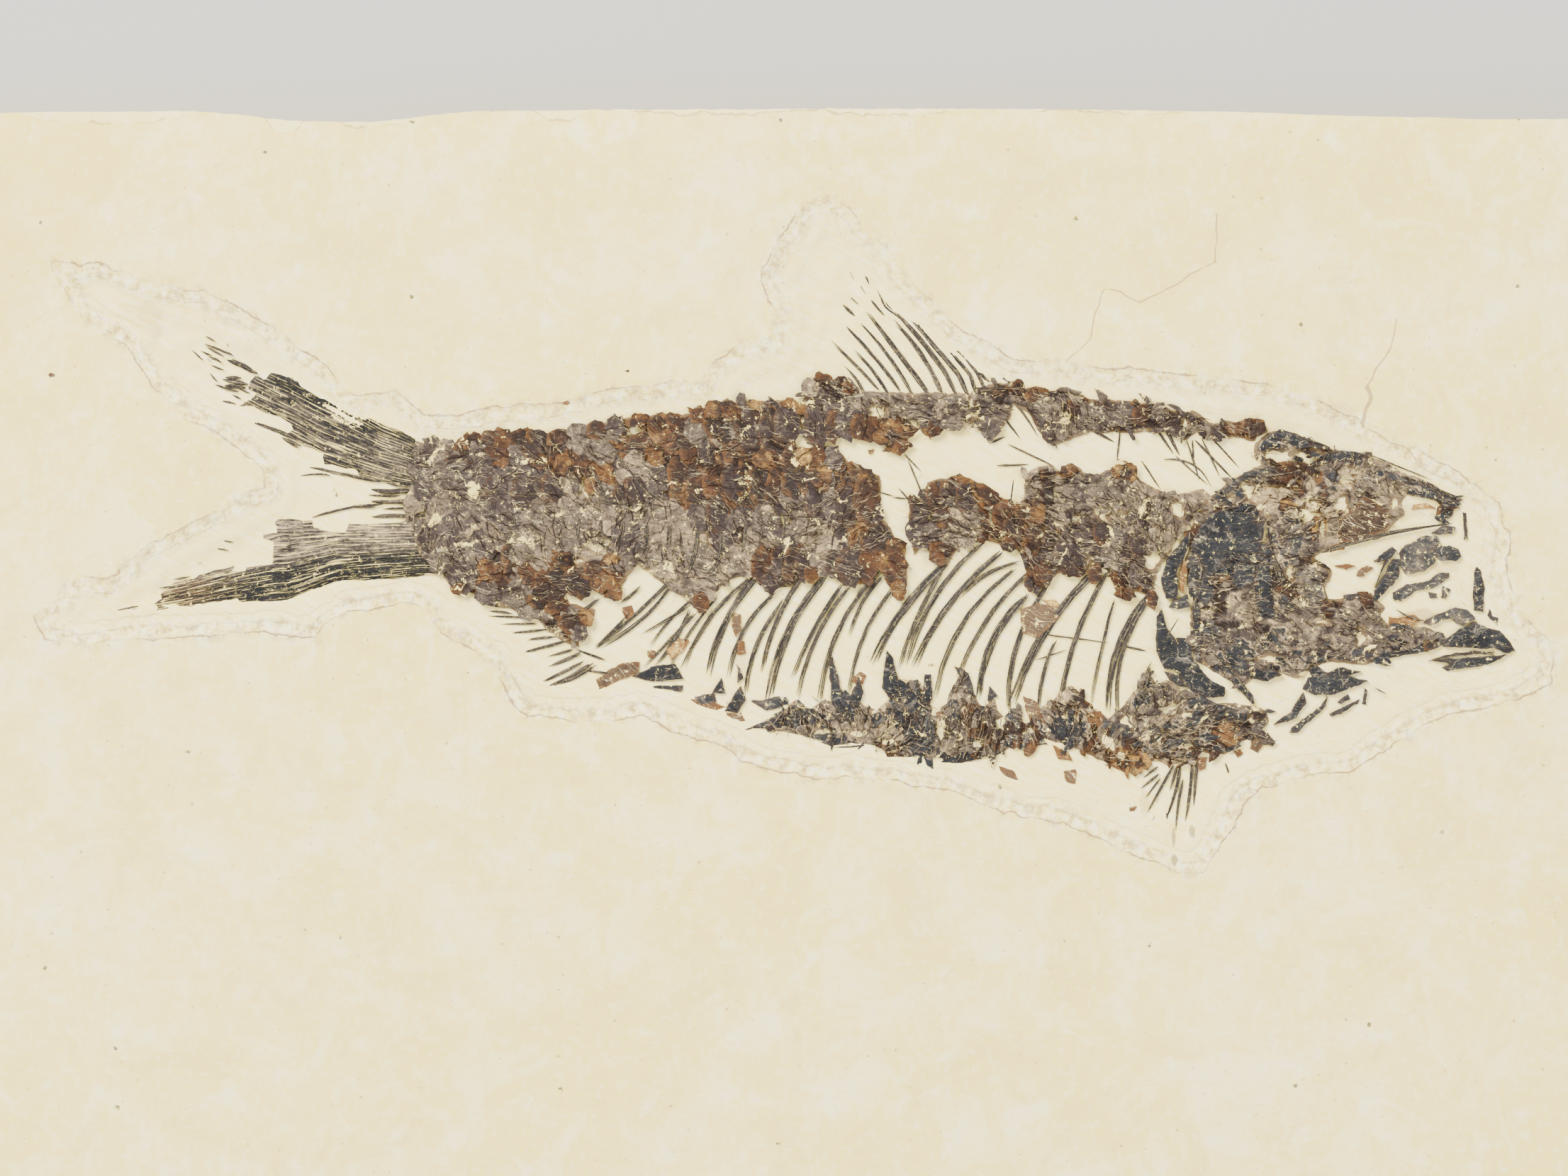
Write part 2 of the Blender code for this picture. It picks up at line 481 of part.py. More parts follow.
def bend(start, corner, end, steps):
    """Points on the quadratic curve from start to end that leans towards corner."""
    a, b, c = Vector(start), Vector(corner), Vector(end)
    shares = [i / steps for i in range(steps + 1)]
    return [(1 - t) ** 2 * a + 2 * t * (1 - t) * b + t * t * c for t in shares]


def backbone_and_ribs(collection, cutters, material):
    pitch = (BACKBONE_HEAD - BACKBONE_TAIL) / VERTEBRAE
    xs = [BACKBONE_TAIL + pitch / 2 * i for i in range(2 * VERTEBRAE + 1)]
    line = [(x, backbone_y(x)) for x in xs]
    radii = [WAIST_RADIUS if i % 2 else CENTRUM_RADIUS for i in range(len(line))]
    pieces = [flat_rod(line, radii, BED, SKELETON_TOP, cutters)]
    for head_x, foot_x, foot_y in RIBS:
        head_y = backbone_y(head_x) - 0.3
        crook = (foot_x, foot_y + RIB_CROOK * (head_y - foot_y))
        line = bend((head_x, head_y), crook, (foot_x, foot_y), RIB_SEGMENTS)
        radii = [RIB_RADIUS * (1.15 - 0.5 * (i / RIB_SEGMENTS) ** 2) for i in range(RIB_SEGMENTS + 1)]
        pieces.append(flat_rod(line, radii, BED + RAY_INSET, SKELETON_TOP - RAY_INSET, cutters))
    return fuse("backbone_and_ribs", pieces, collection, cutters, material)


def fin(name, rays, collection, cutters, material):
    """Rays whose broad feet touch in a row along the back or the belly."""
    feet = [ray[0] for ray in rays]
    radii = [FOOT_RADIUS] * len(feet)
    pieces = [flat_rod(feet, radii, BED, SKELETON_TOP, cutters)]
    for ray in rays:
        radii = [RAY_RADIUS * (1.2 - 0.5 * i / (len(ray) - 1)) for i in range(len(ray))]
        pieces.append(flat_rod(ray, radii, BED + RAY_INSET, SKELETON_TOP - RAY_INSET, cutters))
    return fuse(name, pieces, collection, cutters, material)


def blade(foot, tip, width, cutters):
    """A scute's upright arm: broad at the foot, pointed at the tip."""
    foot, tip = Vector(foot), Vector(tip)
    side = Vector((foot.y - tip.y, tip.x - foot.x)).normalized() * width / 2
    middle = foot.lerp(tip, 0.55)
    outline = [foot - side, foot + side, middle + side * 0.95, tip, middle - side * 0.8]
    crest = [(*foot.lerp(tip, share), OVER_CROWN) for share in (0.2, 0.5)]
    return relief_plate("blade", outline, OVER_BED, OVER_RIM, crest, cutters, None)


def keel_y(x):
    for (ax, ay), (bx, by) in zip(KEEL, KEEL[1:]):
        if ax <= x <= bx:
            return ay + (by - ay) * (x - ax) / (bx - ax)
    raise ValueError(f"no keel at x = {x}")


def belly_scutes(collection, cutters, material):
    pieces = [flat_rod(KEEL, [KEEL_RADIUS] * len(KEEL), OVER_BED, OVER_RIM + 0.08, cutters)]
    for foot_x, tip_x, tip_y, width in SCUTE_ARMS:
        pieces.append(blade((foot_x, keel_y(foot_x)), (tip_x, tip_y), width, cutters))
    return fuse("belly_scutes", pieces, collection, cutters, material)


def scaled_skin(name, outline, bed, rim, crown, collection, material):
    return relief_plate(name, outline, bed, rim, scale_peaks(outline, rim, crown), collection, material)


def tail_lobe(name, outline, collection, material):
    peaks = ray_ridges(outline, LOBE_GROOVE, LOBE_RIDGE)
    return relief_plate(name, outline, BED, LOBE_GROOVE, peaks, collection, material)


def crested_bone(name, outline, crest, collection, material):
    peaks = [(x, y, CROWN) for x, y in crest]
    return relief_plate(name, outline, BED, RIM, peaks, collection, material)


def main():
    clear_scene()
    fossil = bpy.data.collections.new("fossil_fish_slab")
    cutters = bpy.data.collections.new("cutters")
    bpy.context.scene.collection.children.link(fossil)
    bpy.context.scene.collection.children.link(cutters)

    stone = finish("limestone", (0.79, 0.73, 0.58), 0.9)
    scale_brown = finish("scale_brown", (0.16, 0.09, 0.06), 0.45)
    skin_grey = finish("weathered_skin", (0.25, 0.21, 0.19), 0.6)
    bone_slate = finish("bone_slate", (0.07, 0.08, 0.10), 0.4)
    bone_grey = finish("bone_grey", (0.20, 0.17, 0.15), 0.55)

    slab(fossil, cutters, stone)
    scaled_skin("nape_scales", NAPE, BED, RIM, CROWN, fossil, scale_brown)
    scaled_skin("trunk_scales", TRUNK, OVER_BED, OVER_RIM, OVER_CROWN, fossil, scale_brown)
    scaled_skin("shoulder_scales", SHOULDER, OVER_BED, OVER_RIM, OVER_CROWN, fossil, scale_brown)
    tail_lobe("tail_fin_upper", UPPER_LOBE, fossil, skin_grey)
    tail_lobe("tail_fin_lower", LOWER_LOBE, fossil, skin_grey)
    backbone_and_ribs(fossil, cutters, bone_grey)
    crested_bone("skull", SKULL, SKULL_CREST, fossil, bone_grey)
    crested_bone("gill_cover", GILL_COVER, GILL_COVER_CREST, fossil, bone_slate)
    crested_bone("shoulder_girdle", SHOULDER_GIRDLE, SHOULDER_GIRDLE_CREST, fossil, bone_slate)
    crested_bone("lower_jaw", LOWER_JAW, LOWER_JAW_CREST, fossil, bone_slate)
    crested_bone("throat_bones", THROAT, THROAT_CREST, fossil, bone_slate)
    belly_scutes(fossil, cutters, bone_slate)
    fin("dorsal_fin", DORSAL_RAYS, fossil, cutters, bone_grey)
    fin("anal_fin", ANAL_RAYS, fossil, cutters, bone_grey)
    fin("pelvic_fin", PELVIC_RAYS, fossil, cutters, bone_grey)
    fin("pectoral_fin", PECTORAL_RAYS, fossil, cutters, bone_grey)


main()
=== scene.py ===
import math
import random

import bmesh
import bpy
import numpy as np
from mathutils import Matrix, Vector, geometry, noise


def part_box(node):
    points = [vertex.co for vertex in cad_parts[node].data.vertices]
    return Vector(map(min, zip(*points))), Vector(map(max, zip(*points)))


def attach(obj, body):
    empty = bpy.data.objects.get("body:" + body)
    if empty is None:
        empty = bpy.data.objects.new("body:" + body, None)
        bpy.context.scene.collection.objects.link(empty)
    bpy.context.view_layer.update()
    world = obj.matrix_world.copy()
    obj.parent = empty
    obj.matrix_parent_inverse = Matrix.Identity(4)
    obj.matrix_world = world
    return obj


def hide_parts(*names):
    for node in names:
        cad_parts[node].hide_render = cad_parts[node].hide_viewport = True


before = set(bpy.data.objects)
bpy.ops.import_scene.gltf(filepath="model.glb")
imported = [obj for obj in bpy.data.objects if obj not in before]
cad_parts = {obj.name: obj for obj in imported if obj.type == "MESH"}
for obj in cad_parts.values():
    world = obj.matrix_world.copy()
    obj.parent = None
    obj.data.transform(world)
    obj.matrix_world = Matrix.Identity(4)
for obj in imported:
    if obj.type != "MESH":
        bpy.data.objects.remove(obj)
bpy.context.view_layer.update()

mm = 0.001
slabLow, slabHigh = (Vector(corner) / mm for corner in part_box("limestone_slab"))
print("frame loaded:", len(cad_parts), "nodes")

# heights in millimetres above the slab's underside: its face, and how deep the plates reach into it
level = {"face": slabHigh.z, "sunk": 7.38}

# linear colours
paint = {
    "cream": (0.9, 0.725, 0.225),
    "butter": (0.85, 0.69, 0.175),
    "blush": (0.9, 0.77, 0.4),
    "chalk": (0.93, 0.83, 0.5),
    "tan": (0.33, 0.21, 0.085),
    "ochre": (0.8, 0.6, 0.13),
    "slate": (0.013, 0.0145, 0.017),
    "ink": (0.005, 0.0045, 0.0042),
    "ash": (0.125, 0.098, 0.072),
    "dust": (0.22, 0.175, 0.12),
    "plum": (0.045, 0.03, 0.029),
    "sepia": (0.017, 0.0095, 0.006),
    "umber": (0.055, 0.023, 0.011),
    "amber": (0.13, 0.058, 0.017),
    "honey": (0.38, 0.215, 0.045),
}


def pairs(flat):
    return [(flat[i], flat[i + 1]) for i in range(0, len(flat), 2)]


def smoothRise(value, low, high):
    share = np.clip((value - low) / (high - low), 0.0, 1.0)
    return share * share * (3.0 - 2.0 * share)


def signedDistance(px, py, loop):
    # distance to the outline in millimetres, positive inside it
    inside = np.zeros(px.shape, bool)
    nearest = np.full(px.shape, 1e9)
    for (ax, ay), (bx, by) in zip(loop, loop[1:] + loop[:1]):
        dx, dy = bx - ax, by - ay
        share = np.clip(((px - ax) * dx + (py - ay) * dy) / (dx * dx + dy * dy + 1e-12), 0.0, 1.0)
        nearest = np.minimum(nearest, np.hypot(px - ax - share * dx, py - ay - share * dy))
        if ay != by:
            inside ^= ((ay > py) != (by > py)) & (px < dx * (py - ay) / dy + ax)
    return np.where(inside, nearest, -nearest)


def ripple(x, y, pitch, seed):
    return noise.noise((x * pitch, y * pitch, seed))


def noiseField(px, py, size, seed):
    flat = [noise.noise((x / size, y / size, seed)) for x, y in zip(px.ravel(), py.ravel())]
    return np.array(flat).reshape(px.shape)


class Sock:
    # a number socket that can stand in a formula
    def __init__(self, kit, socket):
        self.kit = kit
        self.socket = socket

    def math(self, operation, *others):
        return self.kit.add("ShaderNodeMath", {"operation": operation}, dict(enumerate((self, *others))))

    def __add__(self, other):
        return self.math("ADD", other)

    def __sub__(self, other):
        return self.math("SUBTRACT", other)

    def __rsub__(self, other):
        return self.kit.add("ShaderNodeMath", {"operation": "SUBTRACT"}, {0: other, 1: self})

    def __mul__(self, other):
        return self.math("MULTIPLY", other)

    def __truediv__(self, other):
        return self.math("DIVIDE", other)

    def __abs__(self):
        return self.math("ABSOLUTE")

    __radd__ = __add__
    __rmul__ = __mul__

    def clamp(self):
        return self.kit.add("ShaderNodeClamp", {}, {"Value": self})

    def rise(self, low, high):
        # 0 below low and 1 above high, or the other way round when low is the larger
        values = {"Value": self, "From Min": low, "From Max": high}
        if low > high:
            values = {"Value": self, "From Min": high, "From Max": low, "To Min": 1.0, "To Max": 0.0}
        return self.kit.add("ShaderNodeMapRange", {"interpolation_type": "SMOOTHSTEP"}, values)


class Kit:
    # a node tree under construction: every node comes from add
    def __init__(self, tree, span="3D"):
        self.tree = tree
        self.span = span

    def add(self, kind, settings, values, output=0):
        node = self.tree.nodes.new(kind)
        for name, value in settings.items():
            if name == "stops":
                self.setStops(node, value)
            else:
                setattr(node, name, value)
        for name, value in values.items():
            self.feed(node.inputs[name], value)
        return Sock(self, node.outputs[output])

    def setStops(self, node, stops):
        ramp = node.color_ramp
        while len(ramp.elements) < len(stops):
            ramp.elements.new(0.5)
        for element, (place, colour) in zip(ramp.elements, stops):
            element.position = place
            element.color = (*colour, 1.0)

    def feed(self, socket, value):
        if isinstance(value, Sock):
            self.tree.links.new(value.socket, socket)
        elif isinstance(value, tuple) and len(value) == 3 and socket.type == "RGBA":
            socket.default_value = (*value, 1.0)
        else:
            socket.default_value = value

    def vector(self, operation, first, second, output=0):
        return self.add("ShaderNodeVectorMath", {"operation": operation}, {0: first, 1: second}, output)

    def scaled(self, vector, factors):
        return self.vector("MULTIPLY", vector, factors)

    def shifted(self, vector, amount):
        return self.vector("ADD", vector, amount)

    def joined(self, x, y, z):
        return self.add("ShaderNodeCombineXYZ", {}, {0: x, 1: y, 2: z})

    def part(self, vector, axis):
        return self.add("ShaderNodeSeparateXYZ", {}, {0: vector}, axis)

    def cloud(self, vector, scale, detail=3.0, roughness=0.55, distortion=0.0):
        values = {"Vector": vector, "Scale": scale, "Detail": detail, "Roughness": roughness,
                  "Distortion": distortion}
        return self.add("ShaderNodeTexNoise", {"noise_dimensions": self.span}, values, 0)

    def swirl(self, vector, scale):
        # a wandering offset, centred on nothing
        values = {"Vector": vector, "Scale": scale, "Detail": 3.0}
        drift = self.add("ShaderNodeTexNoise", {"noise_dimensions": self.span}, values, "Color")
        return self.vector("SUBTRACT", drift, (0.5, 0.5, 0.5))

    def warped(self, vector, scale, reach):
        # the same place, pushed about by a swirl
        return self.shifted(vector, self.scaled(self.swirl(vector, scale), (reach, reach, 0.0)))

    def ramp(self, value, stops):
        return self.add("ShaderNodeValToRGB", {"stops": stops}, {"Fac": value}, "Color")

    def cells(self, vector, scale, feature="F1", output="Distance"):
        settings = {"feature": feature, "voronoi_dimensions": self.span}
        return self.add("ShaderNodeTexVoronoi", settings, {"Vector": vector, "Scale": scale}, output)


class Finish(Kit):
    # a material, its patterns laid flat on the face unless it asks for depth
    def __init__(self, name):
        self.material = bpy.data.materials.new(name)
        self.material.use_nodes = True
        super().__init__(self.material.node_tree, "2D")
        self.shader = self.tree.nodes["Principled BSDF"]

    def place(self):
        # object coordinates in millimetres
        return self.scaled(self.add("ShaderNodeTexCoord", {}, {}, "Object"), (1000.0, 1000.0, 1000.0))

    def attribute(self, name, output="Fac"):
        return self.add("ShaderNodeAttribute", {"attribute_name": name}, {}, output)

    def blend(self, share, low, high):
        return self.add("ShaderNodeMix", {"data_type": "RGBA"}, {"Factor": share, 6: low, 7: high}, 2)

    def wash(self, share, tint):
        # one more coat over the colour so far, by its name in paint or as it is
        self.colour = self.blend(share, self.colour, paint.get(tint, tint))

    def hairs(self, spot, turn, width=0.01):
        # thin wandering lines that all run about the same way
        turned = self.add("ShaderNodeVectorRotate", {"rotation_type": "Z_AXIS"},
            {"Vector": spot, "Angle": turn})
        wave = self.cloud(self.scaled(turned, (0.22, 1.5, 1.0)), 1.1, 2.0, 0.5)
        return abs(wave - 0.5).rise(width, width * 0.3)

    def finish(self, roughness, specular, bump=None, depth=0.00006, strength=0.9):
        # bump is a height, felt as depth metres for each 1 of it
        inputs = self.shader.inputs
        self.feed(inputs["Base Color"], self.colour)
        self.feed(inputs["Roughness"], roughness)
        inputs["Specular IOR Level"].default_value = specular
        if bump:
            values = {"Height": bump, "Distance": depth, "Strength": strength}
            self.feed(inputs["Normal"], self.add("ShaderNodeBump", {}, values))
        return self.material


class Growth(Kit):
    # a geometry node group: inputs are named, and the last steps realise the instances and set the material
    def __init__(self, name):
        group = bpy.data.node_groups.new(name, "GeometryNodeTree")
        super().__init__(group)
        self.group = group
        group.interface.new_socket("Geometry", in_out="INPUT", socket_type="NodeSocketGeometry")
        group.interface.new_socket("Geometry", in_out="OUTPUT", socket_type="NodeSocketGeometry")

    def input(self, name, kind="NodeSocketFloat"):
        known = [item.name for item in self.group.interface.items_tree if item.in_out == "INPUT"]
        if name not in known:
            self.group.interface.new_socket(name, in_out="INPUT", socket_type=kind)
        return self.add("NodeGroupInput", {}, {}, name)

    def named(self, name, kind="FLOAT"):
        return self.add("GeometryNodeInputNamedAttribute", {"data_type": kind}, {"Name": name}, "Attribute")

    def close(self, shape):
        shape = self.add("GeometryNodeRealizeInstances", {}, {"Geometry": shape})
        values = {"Geometry": shape, "Material": self.input("Material", "NodeSocketMaterial")}
        shape = self.add("GeometryNodeSetMaterial", {}, values)
        ending = self.tree.nodes.new("NodeGroupOutput")
        self.feed(ending.inputs["Geometry"], shape)

    def grow(self, name, mesh, values):
        # run the group on a mesh and keep the result as a plain mesh
        seedling = stand(name + "Source", mesh)
        modifier = seedling.modifiers.new("growth", "NODES")
        modifier.node_group = self.group
        for item in self.group.interface.items_tree:
            if item.in_out == "INPUT" and item.name in values:
                modifier[item.identifier] = values[item.name]
        grown = seedling.evaluated_get(bpy.context.evaluated_depsgraph_get())
        result = bpy.data.meshes.new_from_object(grown)
        result.name = name
        bpy.data.objects.remove(seedling)
        return stand(name, result)


def stand(name, data):
    # an object in the scene, at the origin
    thing = bpy.data.objects.new(name, data)
    bpy.context.scene.collection.objects.link(thing)
    return thing


def give(mesh, name, values, kind="FLOAT"):
    layer = mesh.attributes.new(name, kind, "POINT")
    field = "vector" if kind == "FLOAT_VECTOR" else "value"
    layer.data.foreach_set(field,
        np.asarray(values, dtype=np.int32 if kind == "INT" else np.float32).ravel())


def newPiece(name, points, faces):
    mesh = bpy.data.meshes.new(name)
    mesh.from_pydata([tuple(c * mm for c in p) for p in points], [], faces)
    mesh.validate()
    mesh.shade_smooth()
    mesh.set_sharp_from_angle(angle=math.radians(35))
    return stand(name, mesh)


def place(piece, slotName, nodes=()):
    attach(piece, "root")
    if nodes:
        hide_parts(*nodes)


# the slab
slab = {
    "fineStep": 0.34,
    "coarseStep": 2.2,
    "fineWindow": (-65.5, 66.0, -14.5, 46.5),
    "edgeBand": 5.0,       # how far in from the rim the broken edge is felt
    "wallRows": 8,
    "wallRoughness": 0.35,
    "rimWear": 0.45,
    "bankWarp": 0.35,      # how much the trench banks wander
    "facePlay": 0.05,
}
topRim = (
    -75,51.5, -66,51.7, -50,51.8, -46,51.5, -44.5,51.3, -42,51, -38,50.9, -35,50.9, -32,51.2, -30,51.5,
    -26,51.8, -20,51.9, 0,52, 22,52, 30,51.9, 40,51.7, 48,51.4, 54,51.3, 66,51.1, 75,50.8)
trenchLine = (
    -62,38.3, -62,39, -58,39, -54,37.5, -49,36.5, -44.5,34.3, -39,30.5, -37,28.2, -36,27.7, -33,28.2,
    -30.5,26.2, -27.5,26, -24.5,26.8, -21,26.9, -17.2,27.6, -14.5,28.4, -6.9,29, -5.8,30.8, -4,31.9,
    -1.1,32.5, -0.9,34.6, -2.1,37.2, -2,38.3, 1.2,43.6, 3.6,44.9, 6.2,43, 6.5,42, 8.5,40.4, 11.4,36.6,
    14.6,33.7, 19.3,30.9, 40,29, 45,27.5, 57.4,21.2, 60.5,18.7, 61.4,16.2, 61.1,12.5, 62.4,9.3, 64.6,7.2,
    65.2,5.3, 64.9,3.4, 62.1,1.9, 55,0.2, 48,-4.2, 46,-4.2, 40.5,-5.6, 38.6,-7, 37.8,-9.5, 35.5,-12.6,
    33.5,-12.9, 23.8,-8.5, 20,-7.9, 13.4,-5.6, 5.6,-4.6, 2,-4.8, -3,-3.5, -5,-2.1, -10.5,-0.2, -12,0.8,
    -14.5,0.1, -21.5,0.4, -22.5,1, -25,5.3, -29.3,7.7, -30.3,9.6, -32,10.1, -37,9.3, -39,8, -39.5,7.2,
    -44,7.6, -57,7, -59.5,6.5, -62.5,7.2, -63.6,9, -61,11, -60.7,12.2, -57.5,12.2, -53.5,15.3, -44.2,20,
    -44.2,21.2, -45,22.2, -48.5,24.8, -51,25.8, -53.5,28.6, -55.7,32, -58,33, -60,35)
roughLobes = (
    (1.5,38, 6.5,7.5), (-54,33.5, 11,6), (-56,9.8, 8,3.2), (-48,17, 5,3), (34.5,-9, 4.5,4.5), (46,26.5,
    14,3.4), (60.5,12, 3,9), (56,2.4, 9,3))


def stepsAlong(low, high, fineLow, fineHigh, fine, coarse):
    before = np.linspace(low, fineLow, max(2, round((fineLow - low) / coarse)), endpoint=False)
    middle = np.linspace(fineLow, fineHigh, round((fineHigh - fineLow) / fine), endpoint=False)
    after = np.linspace(fineHigh, high, max(2, round((high - fineHigh) / coarse)) + 1)
    return np.concatenate([before, middle, after])


def rimInset(along, seed):
    # a slow waver, nicks and crumbs
    return 0.55 + sum(reach * np.array([ripple(a, 0.0, pitch, seed + more) for a in along])
                      for reach, pitch, more in ((0.4, 0.11, 0.0), (0.22, 0.9, 5.0), (0.1, 2.6, 9.0)))


def trenchDepth(px, py):
    # how far the face is cut down, and the warped distance that the banks follow
    bank = signedDistance(px, py, pairs(trenchLine))
    near = np.abs(bank) < 9.0
    warp = np.zeros(px.shape)
    x, y = px[near], py[near]
    warp[near] = 0.7 * noiseField(x, y, 3.2, 4.0) + 0.3 * noiseField(x, y, 1.1, 6.0)
    bank = bank + slab["bankWarp"] * warp
    depth = 0.17 * smoothRise(bank, -0.1, 0.5) + 0.13 * smoothRise(bank, 1.0, 1.7)
    depth = depth + 0.2 * smoothRise(bank, 2.2, 3.6)
    return depth, bank


slabMarks = (  # stains and specks: place, width, height, colour, strength
    (-53.8,34.6, 2.2,2.6, "tan", 0.22), (-53.2,33.2, 1.6,1.4, "tan", 0.2), (47,26.5, 2.4,1.6, "tan", 0.25),
    (-12,27.3, 2.6,1.6, "tan", 0.16), (32.8,25.9, 1.4,0.7, "ochre", 0.8), (53,17.9, 2.6,1.2, "amber", 0.28),
    (53.6,8.9, 3.4,1.6, "honey", 0.55), (56,13.2, 2.6,0.9, "honey", 0.3), (-9.4,6.2, 1.8,2.2, "honey",
    0.35), (-3.6,5.4, 1.2,2.6, "honey", 0.3), (12.8,13.8, 2.4,1, "honey", 0.3), (21,4.8, 1.6,0.8, "honey",
    0.15), (-62,29.4, 0.7,0.5, "umber", 1), (-18.4,27.1, 0.7,0.45, "amber", 1), (-13.3,29.8, 0.45,0.35,
    "sepia", 1), (-25.2,28.9, 0.25,0.25, "umber", 0.9), (60.2,22.2, 0.4,0.3, "amber", 0.9), (33,-9.5,
    0.4,1.6, "umber", 0.6), (34.6,-9.2, 0.5,1.4, "umber", 0.6), (33.1,-11.6, 0.5,1, "umber", 0.6),
    (34.5,-11.9, 0.3,0.6, "umber", 0.6), (30.6,-6.9, 1,2.6, "honey", 0.3), (15.4,34.1, 0.3,0.3, "sepia",
    0.9), (-26.8,4.3, 0.3,0.3, "umber", 0.8), (-35.2,7.1, 0.3,0.3, "umber", 0.8))
slabCracks = (  # width, then the line
    (0.07, 51.8,34.2, 51.4,31.7, 50.2,30, 49.3,28.5), (0.17, 49.3,28.5, 49.7,27.5, 48.8,25.2), (0.07,
    48.8,25.2, 51,24, 52.8,23.2, 53.7,22.1), (0.06, 23.8,30.5, 26,32.6, 26.2,34, 27,36.9, 28.5,36.5,
    30,35.5, 36.5,39, 36.6,43))
rimChips = (  # place, width, height
    (-57.5,51.7, 19,1.7), (-42.3,51.5, 4.2,3.2), (-35,51.3, 9,1.7), (-19,51.8, 4.6,1.5), (-6,52, 14,0.9),
    (9,52, 12,1), (31,52.1, 7,1.3), (52,51.9, 20,0.9))


def crackValues(px, py):
    # distance to the nearest crack in crack widths, signed by its side, and where it counts
    px = px + 0.22 * noiseField(px, py, 1.3, 51.0)
    py = py + 0.22 * noiseField(px, py, 1.3, 52.0)
    away, felt = np.full(px.shape, 99.0), np.zeros(px.shape)
    for width, *line in slabCracks:
        knots = pairs(line)
        for (ax, ay), (bx, by) in zip(knots, knots[1:]):
            dx, dy = bx - ax, by - ay
            long = math.hypot(dx, dy)
            share = ((px - ax) * dx + (py - ay) * dy) / long ** 2
            side = ((px - ax) * dy - (py - ay) * dx) / long
            closer = (share > -0.04) & (share < 1.04) & (np.abs(side) < np.abs(away * width))
            away[closer] = side[closer] / width
            felt[closer] = np.clip(2.0 - np.abs(side[closer]) / 0.4, 0.0, 1.0)
    return np.clip(away, -20.0, 20.0), felt


def markValues(px, py):
    # the nearest stain: how far inside it a point is, its colour and its strength
    cover, strength = np.full(px.shape, -3.0), np.zeros(px.shape)
    tint = np.ones((len(px), 3)) * 0.5
    for x, y, wide, tall, shade, share in slabMarks:
        inside = 1.15 - np.hypot((px - x) * 2.0 / wide, (py - y) * 2.0 / tall)
        nearer = inside > cover
        cover[nearer], strength[nearer], tint[nearer] = inside[nearer], share, paint[shade]
    return cover, strength, tint


